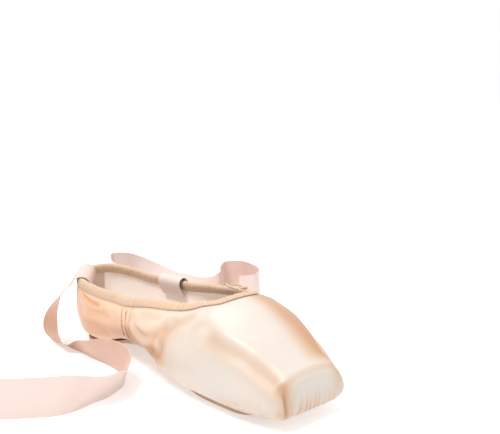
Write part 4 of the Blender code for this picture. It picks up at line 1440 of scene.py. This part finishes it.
@dataclass
class Studio:
    """Pale floor, soft lights, and the camera."""

    target: Colour = (0.04194, 0.03657, 0.09647)
    azimuth: float = -40.17
    elevation: float = 11.02
    distance: float = 0.54234
    roll: float = -1.98
    lens: float = 60.5
    bright_side: Colour = (0.62, 0.75, 0.22)
    dim: float = 0.62
    floor_side: float = 6.0

    def camera(self) -> None:
        """The camera at the angles and the distance from the target, rolled a little."""
        a, e, r = (math.radians(v) for v in (self.azimuth, self.elevation, self.roll))
        back = np.array([math.sin(a) * math.cos(e), -math.cos(a) * math.cos(e), math.sin(e)])
        right = np.array([math.cos(a), math.sin(a), 0.0])
        up = np.cross(back, right)
        right, up = right * math.cos(r) + up * math.sin(r), up * math.cos(r) - right * math.sin(r)
        turn = np.eye(4)
        turn[:3, 0], turn[:3, 1], turn[:3, 2] = right, up, back
        turn[:3, 3] = np.array(self.target) + back * self.distance
        data = bpy.data.cameras.new("studio_camera")
        data.lens = self.lens
        data.clip_start = 0.01
        bpy.context.scene.camera = put("studio_camera", data, turn)

    def floor(self) -> None:
        """A wide pale floor that glows a little."""
        corners = self.floor_side * np.array([(-1, -1, 0), (1, -1, 0), (1, 1, 0), (-1, 1, 0)])
        mesh = bpy.data.meshes.new("studio_floor")
        mesh.from_pydata(corners.tolist(), [], [(0, 1, 2, 3)])
        mesh.materials.append(NodeBench("studio_floor").dress(
            Base_Color=(0.7, 0.7, 0.7, 1.0), Roughness=0.9, Emission_Color=(1.0, 0.99, 0.98, 1.0),
            Emission_Strength=0.45))
        put("studio_floor", mesh)

    @staticmethod
    def light(name: str, place: Colour, towards: Colour, size: float, power: float, colour: Colour) -> None:
        """One soft area light.

        Args:
            name: Its name.
            place: Where it stands.
            towards: What it faces.
            size: Its width in metres.
            power: Its power in watts.
            colour: Its colour.
        """
        data = bpy.data.lights.new(name, "AREA")
        data.size = size
        data.energy = power
        data.color = colour
        back = unit(np.array(place) - np.array(towards))
        right = unit(np.cross((0.0, 0.0, 1.0), back))
        turn = np.eye(4)
        turn[:3, 0], turn[:3, 1], turn[:3, 2], turn[:3, 3] = right, np.cross(back, right), back, place
        put(name, data, turn)

    def lights(self) -> None:
        """A key from above, a gloss light from behind, a faint one in front, and a bright surround."""
        heart = (0.0, 0.03, 0.03)
        self.light("key_light", (-0.55, -0.05, 1.14), heart, 0.35, 11.0, (1.0, 0.98, 0.95))
        self.light("gloss_light", (0.06, 0.42, 1.05), heart, 0.5, 3.0, (1.0, 0.98, 0.96))
        self.light("front_light", (0.16, -0.8, 0.4), heart, 0.5, 1.6, (1.0, 0.98, 0.96))
        world = bpy.data.worlds.new("studio_air")
        world.use_nodes = True
        nodes, links = world.node_tree.nodes, world.node_tree.links
        air, place = nodes["Background"], nodes.new("ShaderNodeTexCoord")
        facing = nodes.new("ShaderNodeVectorMath")
        facing.operation = "DOT_PRODUCT"
        facing.inputs[1].default_value = self.bright_side
        share = nodes.new("ShaderNodeMapRange")
        ends = {"From Min": 0.0, "From Max": 0.75, "To Min": self.dim, "To Max": 1.0}
        for key, value in ends.items():
            share.inputs[key].default_value = value
        links.new(place.outputs["Generated"], facing.inputs[0])
        links.new(facing.outputs["Value"], share.inputs["Value"])
        links.new(share.outputs["Result"], air.inputs["Strength"])
        air.inputs["Color"].default_value = (1.0, 1.0, 1.0, 1.0)
        bpy.context.scene.world = world
        bpy.context.scene.view_settings.view_transform = "Standard"


RIGHT_RIBBON = np.array([
    (-0.74, 0.97, 0.73, -0.6, -0.78, 0.1), (-0.92, 0.968, 0.59, -0.42, -0.9, 0.12),
    (-1.09, 0.956, 0.46, -0.2, -0.97, 0.15), (-1.19, 0.942, 0.32, -0.08, -0.98, 0.15),
    (-1.22, 0.928, 0.18, -0.08, -0.98, 0.18), (-1.15, 0.908, 0.04, -0.15, -0.97, 0.18),
    (-1.06, 0.862, 0.0, -0.18, -0.92, 0.33), (-1.08, 0.803, 0.0, -0.3, -0.8, 0.48),
    (-1.1, 0.73, 0.0, -0.32, -0.65, 0.69), (-1.05, 0.656, 0.0, -0.24, -0.45, 0.86),
    (-1.06, 0.583, 0.0, -0.08, -0.4, 0.91), (-1.15, 0.528, 0.0, -0.16, -0.6, 0.78),
    (-1.41, 0.479, 0.0, -0.3, -0.71, 0.64), (-1.71, 0.453, 0.0, -0.06, -0.6, 0.8),
    (-2.07, 0.445, 0.0, 0.04, -0.51, 0.86), (-2.43, 0.45, 0.0, 0.11, -0.28, 0.95),
    (-2.71, 0.469, 0.0, 0.25, -0.1, 0.96), (-3.12, 0.511, 0.0, 0.12, -0.04, 0.99),
    (-3.45, 0.553, 0.0, 0.0, 0.0, 1.0), (-4.1, 0.64, 0.0, 0.0, 0.0, 1.0),
    (-4.75, 0.76, 0.0, -0.1, 0.0, 1.0), (-5.05, 0.91, 0.0, -0.15, 0.0, 1.0),
    (-4.85, 1.06, 0.0, -0.1, 0.0, 1.0), (-4.3, 1.17, 0.0, 0.0, 0.0, 1.0),
    (-3.7, 1.235, 0.0, 0.0, 0.0, 1.0)])
LEFT_RIBBON = np.array([
    (0.98, 0.7, 0.58, 0.0, 1.0, 0.0), (1.1, 0.725, 0.18, 0.1, 0.95, 0.2),
    (1.3, 0.79, 0.02, 0.3, 0.55, 0.7), (1.48, 0.89, 0.0, 0.2, 0.0, 0.95),
    (1.62, 1.06, 0.0, 0.0, 0.0, 1.0), (1.8, 1.25, 0.0, 0.0, 0.0, 1.0),
    (2.05, 1.41, 0.0, 0.0, 0.0, 1.0), (2.42, 1.485, 0.0, 0.0, 0.0, 1.0),
    (2.7, 1.45, 0.0, 0.0, 0.0, 1.0), (2.66, 1.35, 0.0, 0.3, 0.0, 0.95),
    (2.68, 1.21, 0.0, 0.72, 0.0, 0.69), (2.8, 1.06, 0.0, 0.78, 0.0, 0.62),
    (2.9, 0.945, 0.0, 0.45, 0.0, 0.89), (3.14, 0.945, 0.0, 0.0, 0.0, 1.0),
    (3.46, 1.005, 0.0, 0.0, 0.0, 1.0), (3.82, 1.045, 0.0, 0.0, 0.0, 1.0),
    (4.08, 1.01, 0.0, 0.0, 0.0, 1.0), (4.03, 0.925, 0.0, 0.0, 0.0, 1.0),
    (3.76, 0.85, 0.0, 0.0, 0.0, 1.0), (3.45, 0.822, 0.0, 0.0, 0.0, 1.0),
    (3.16, 0.85, 0.0, 0.0, 0.0, 1.0)])


def dress_label() -> None:
    """Give the blank cloth label inside its own cloth."""
    look = ClothFinish("label_cloth", (0.93, 0.91, 0.88), (0.84, 0.8, 0.76), 2200.0, 0.7).make()
    label = bpy.data.objects["inner_label"]
    label.data.materials.clear()
    label.data.materials.append(look)


def main() -> None:
    """Build the shoe piece by piece, and the studio round it."""
    logging.basicConfig(level=logging.INFO, format="%(name)s %(message)s")
    studio = Studio()
    studio.camera()
    last = Last()
    skin = Skin(last)
    peach_thread = ThreadFinish("peach_thread", (0.7, 0.46, 0.34))
    cream_cord = ThreadFinish("cream_cord", (0.66, 0.5, 0.36))
    Drawstring(skin, cream_cord).make()
    satin = SatinFinish("shoe_satin", (0.585, 0.535, 0.495), (0.74, 0.56, 0.43), (0.92, 0.555, 0.335))
    lining = ClothFinish("lining_cotton", (0.98, 0.9, 0.84), (0.9, 0.78, 0.7))
    upper = Upper(skin, satin, lining, peach_thread)
    upper.make()
    upper.seam_stitches()
    upper.back_tape()
    casing = ClothFinish("casing_cotton", (0.6, 0.445, 0.325), (0.5, 0.31, 0.19))
    binding = CollarBinding(skin, casing, peach_thread)
    binding.stitch(binding.make())
    leather = HideFinish("sole_leather", (0.62, 0.44, 0.32), (0.42, 0.27, 0.18), 900.0, 0.1 * MM, 0.6, 0.0)
    Outsole(last, leather).make()
    suede = HideFinish("insole_suede", (0.62, 0.5, 0.43), (0.5, 0.38, 0.33), 1800.0, 0.2 * MM, 0.95, 0.5)
    Insole(skin, suede).make()
    dress_label()
    ribbon_satin = SatinFinish("ribbon_satin", (0.68, 0.575, 0.54), (0.72, 0.535, 0.48), (0.76, 0.43, 0.3),
                               0.4, 0.3, (1.0, 1.0, 0.15))
    # painted shade: deepest where the right ribbon falls from the rim, its face turned from the light
    fall_shade = ((0.0, 0.5), (0.025, 0.3), (0.038, 0.9), (0.05, 1.0), (0.08, 1.0), (0.1, 0.9), (0.13, 0.7),
               (0.17, 0.7), (0.21, 0.4), (0.6, 0.3))
    Ribbon(skin, Side.RIGHT, 0.951, 6.4 * MM, RIGHT_RIBBON, ribbon_satin, tones=fall_shade).make(
        "satin_ribbon_right", "ribbon_right")
    lying = ((0.0, 0.0), (0.05, 0.1), (0.3, 0.15), (0.38, 0.45), (0.6, 0.5))
    Ribbon(skin, Side.LEFT, 0.69, 2.0 * MM, LEFT_RIBBON, ribbon_satin, tones=lying).make(
        "satin_ribbon_left", "ribbon_left")
    studio.floor()
    studio.lights()


if __name__ == "__main__":
    main()
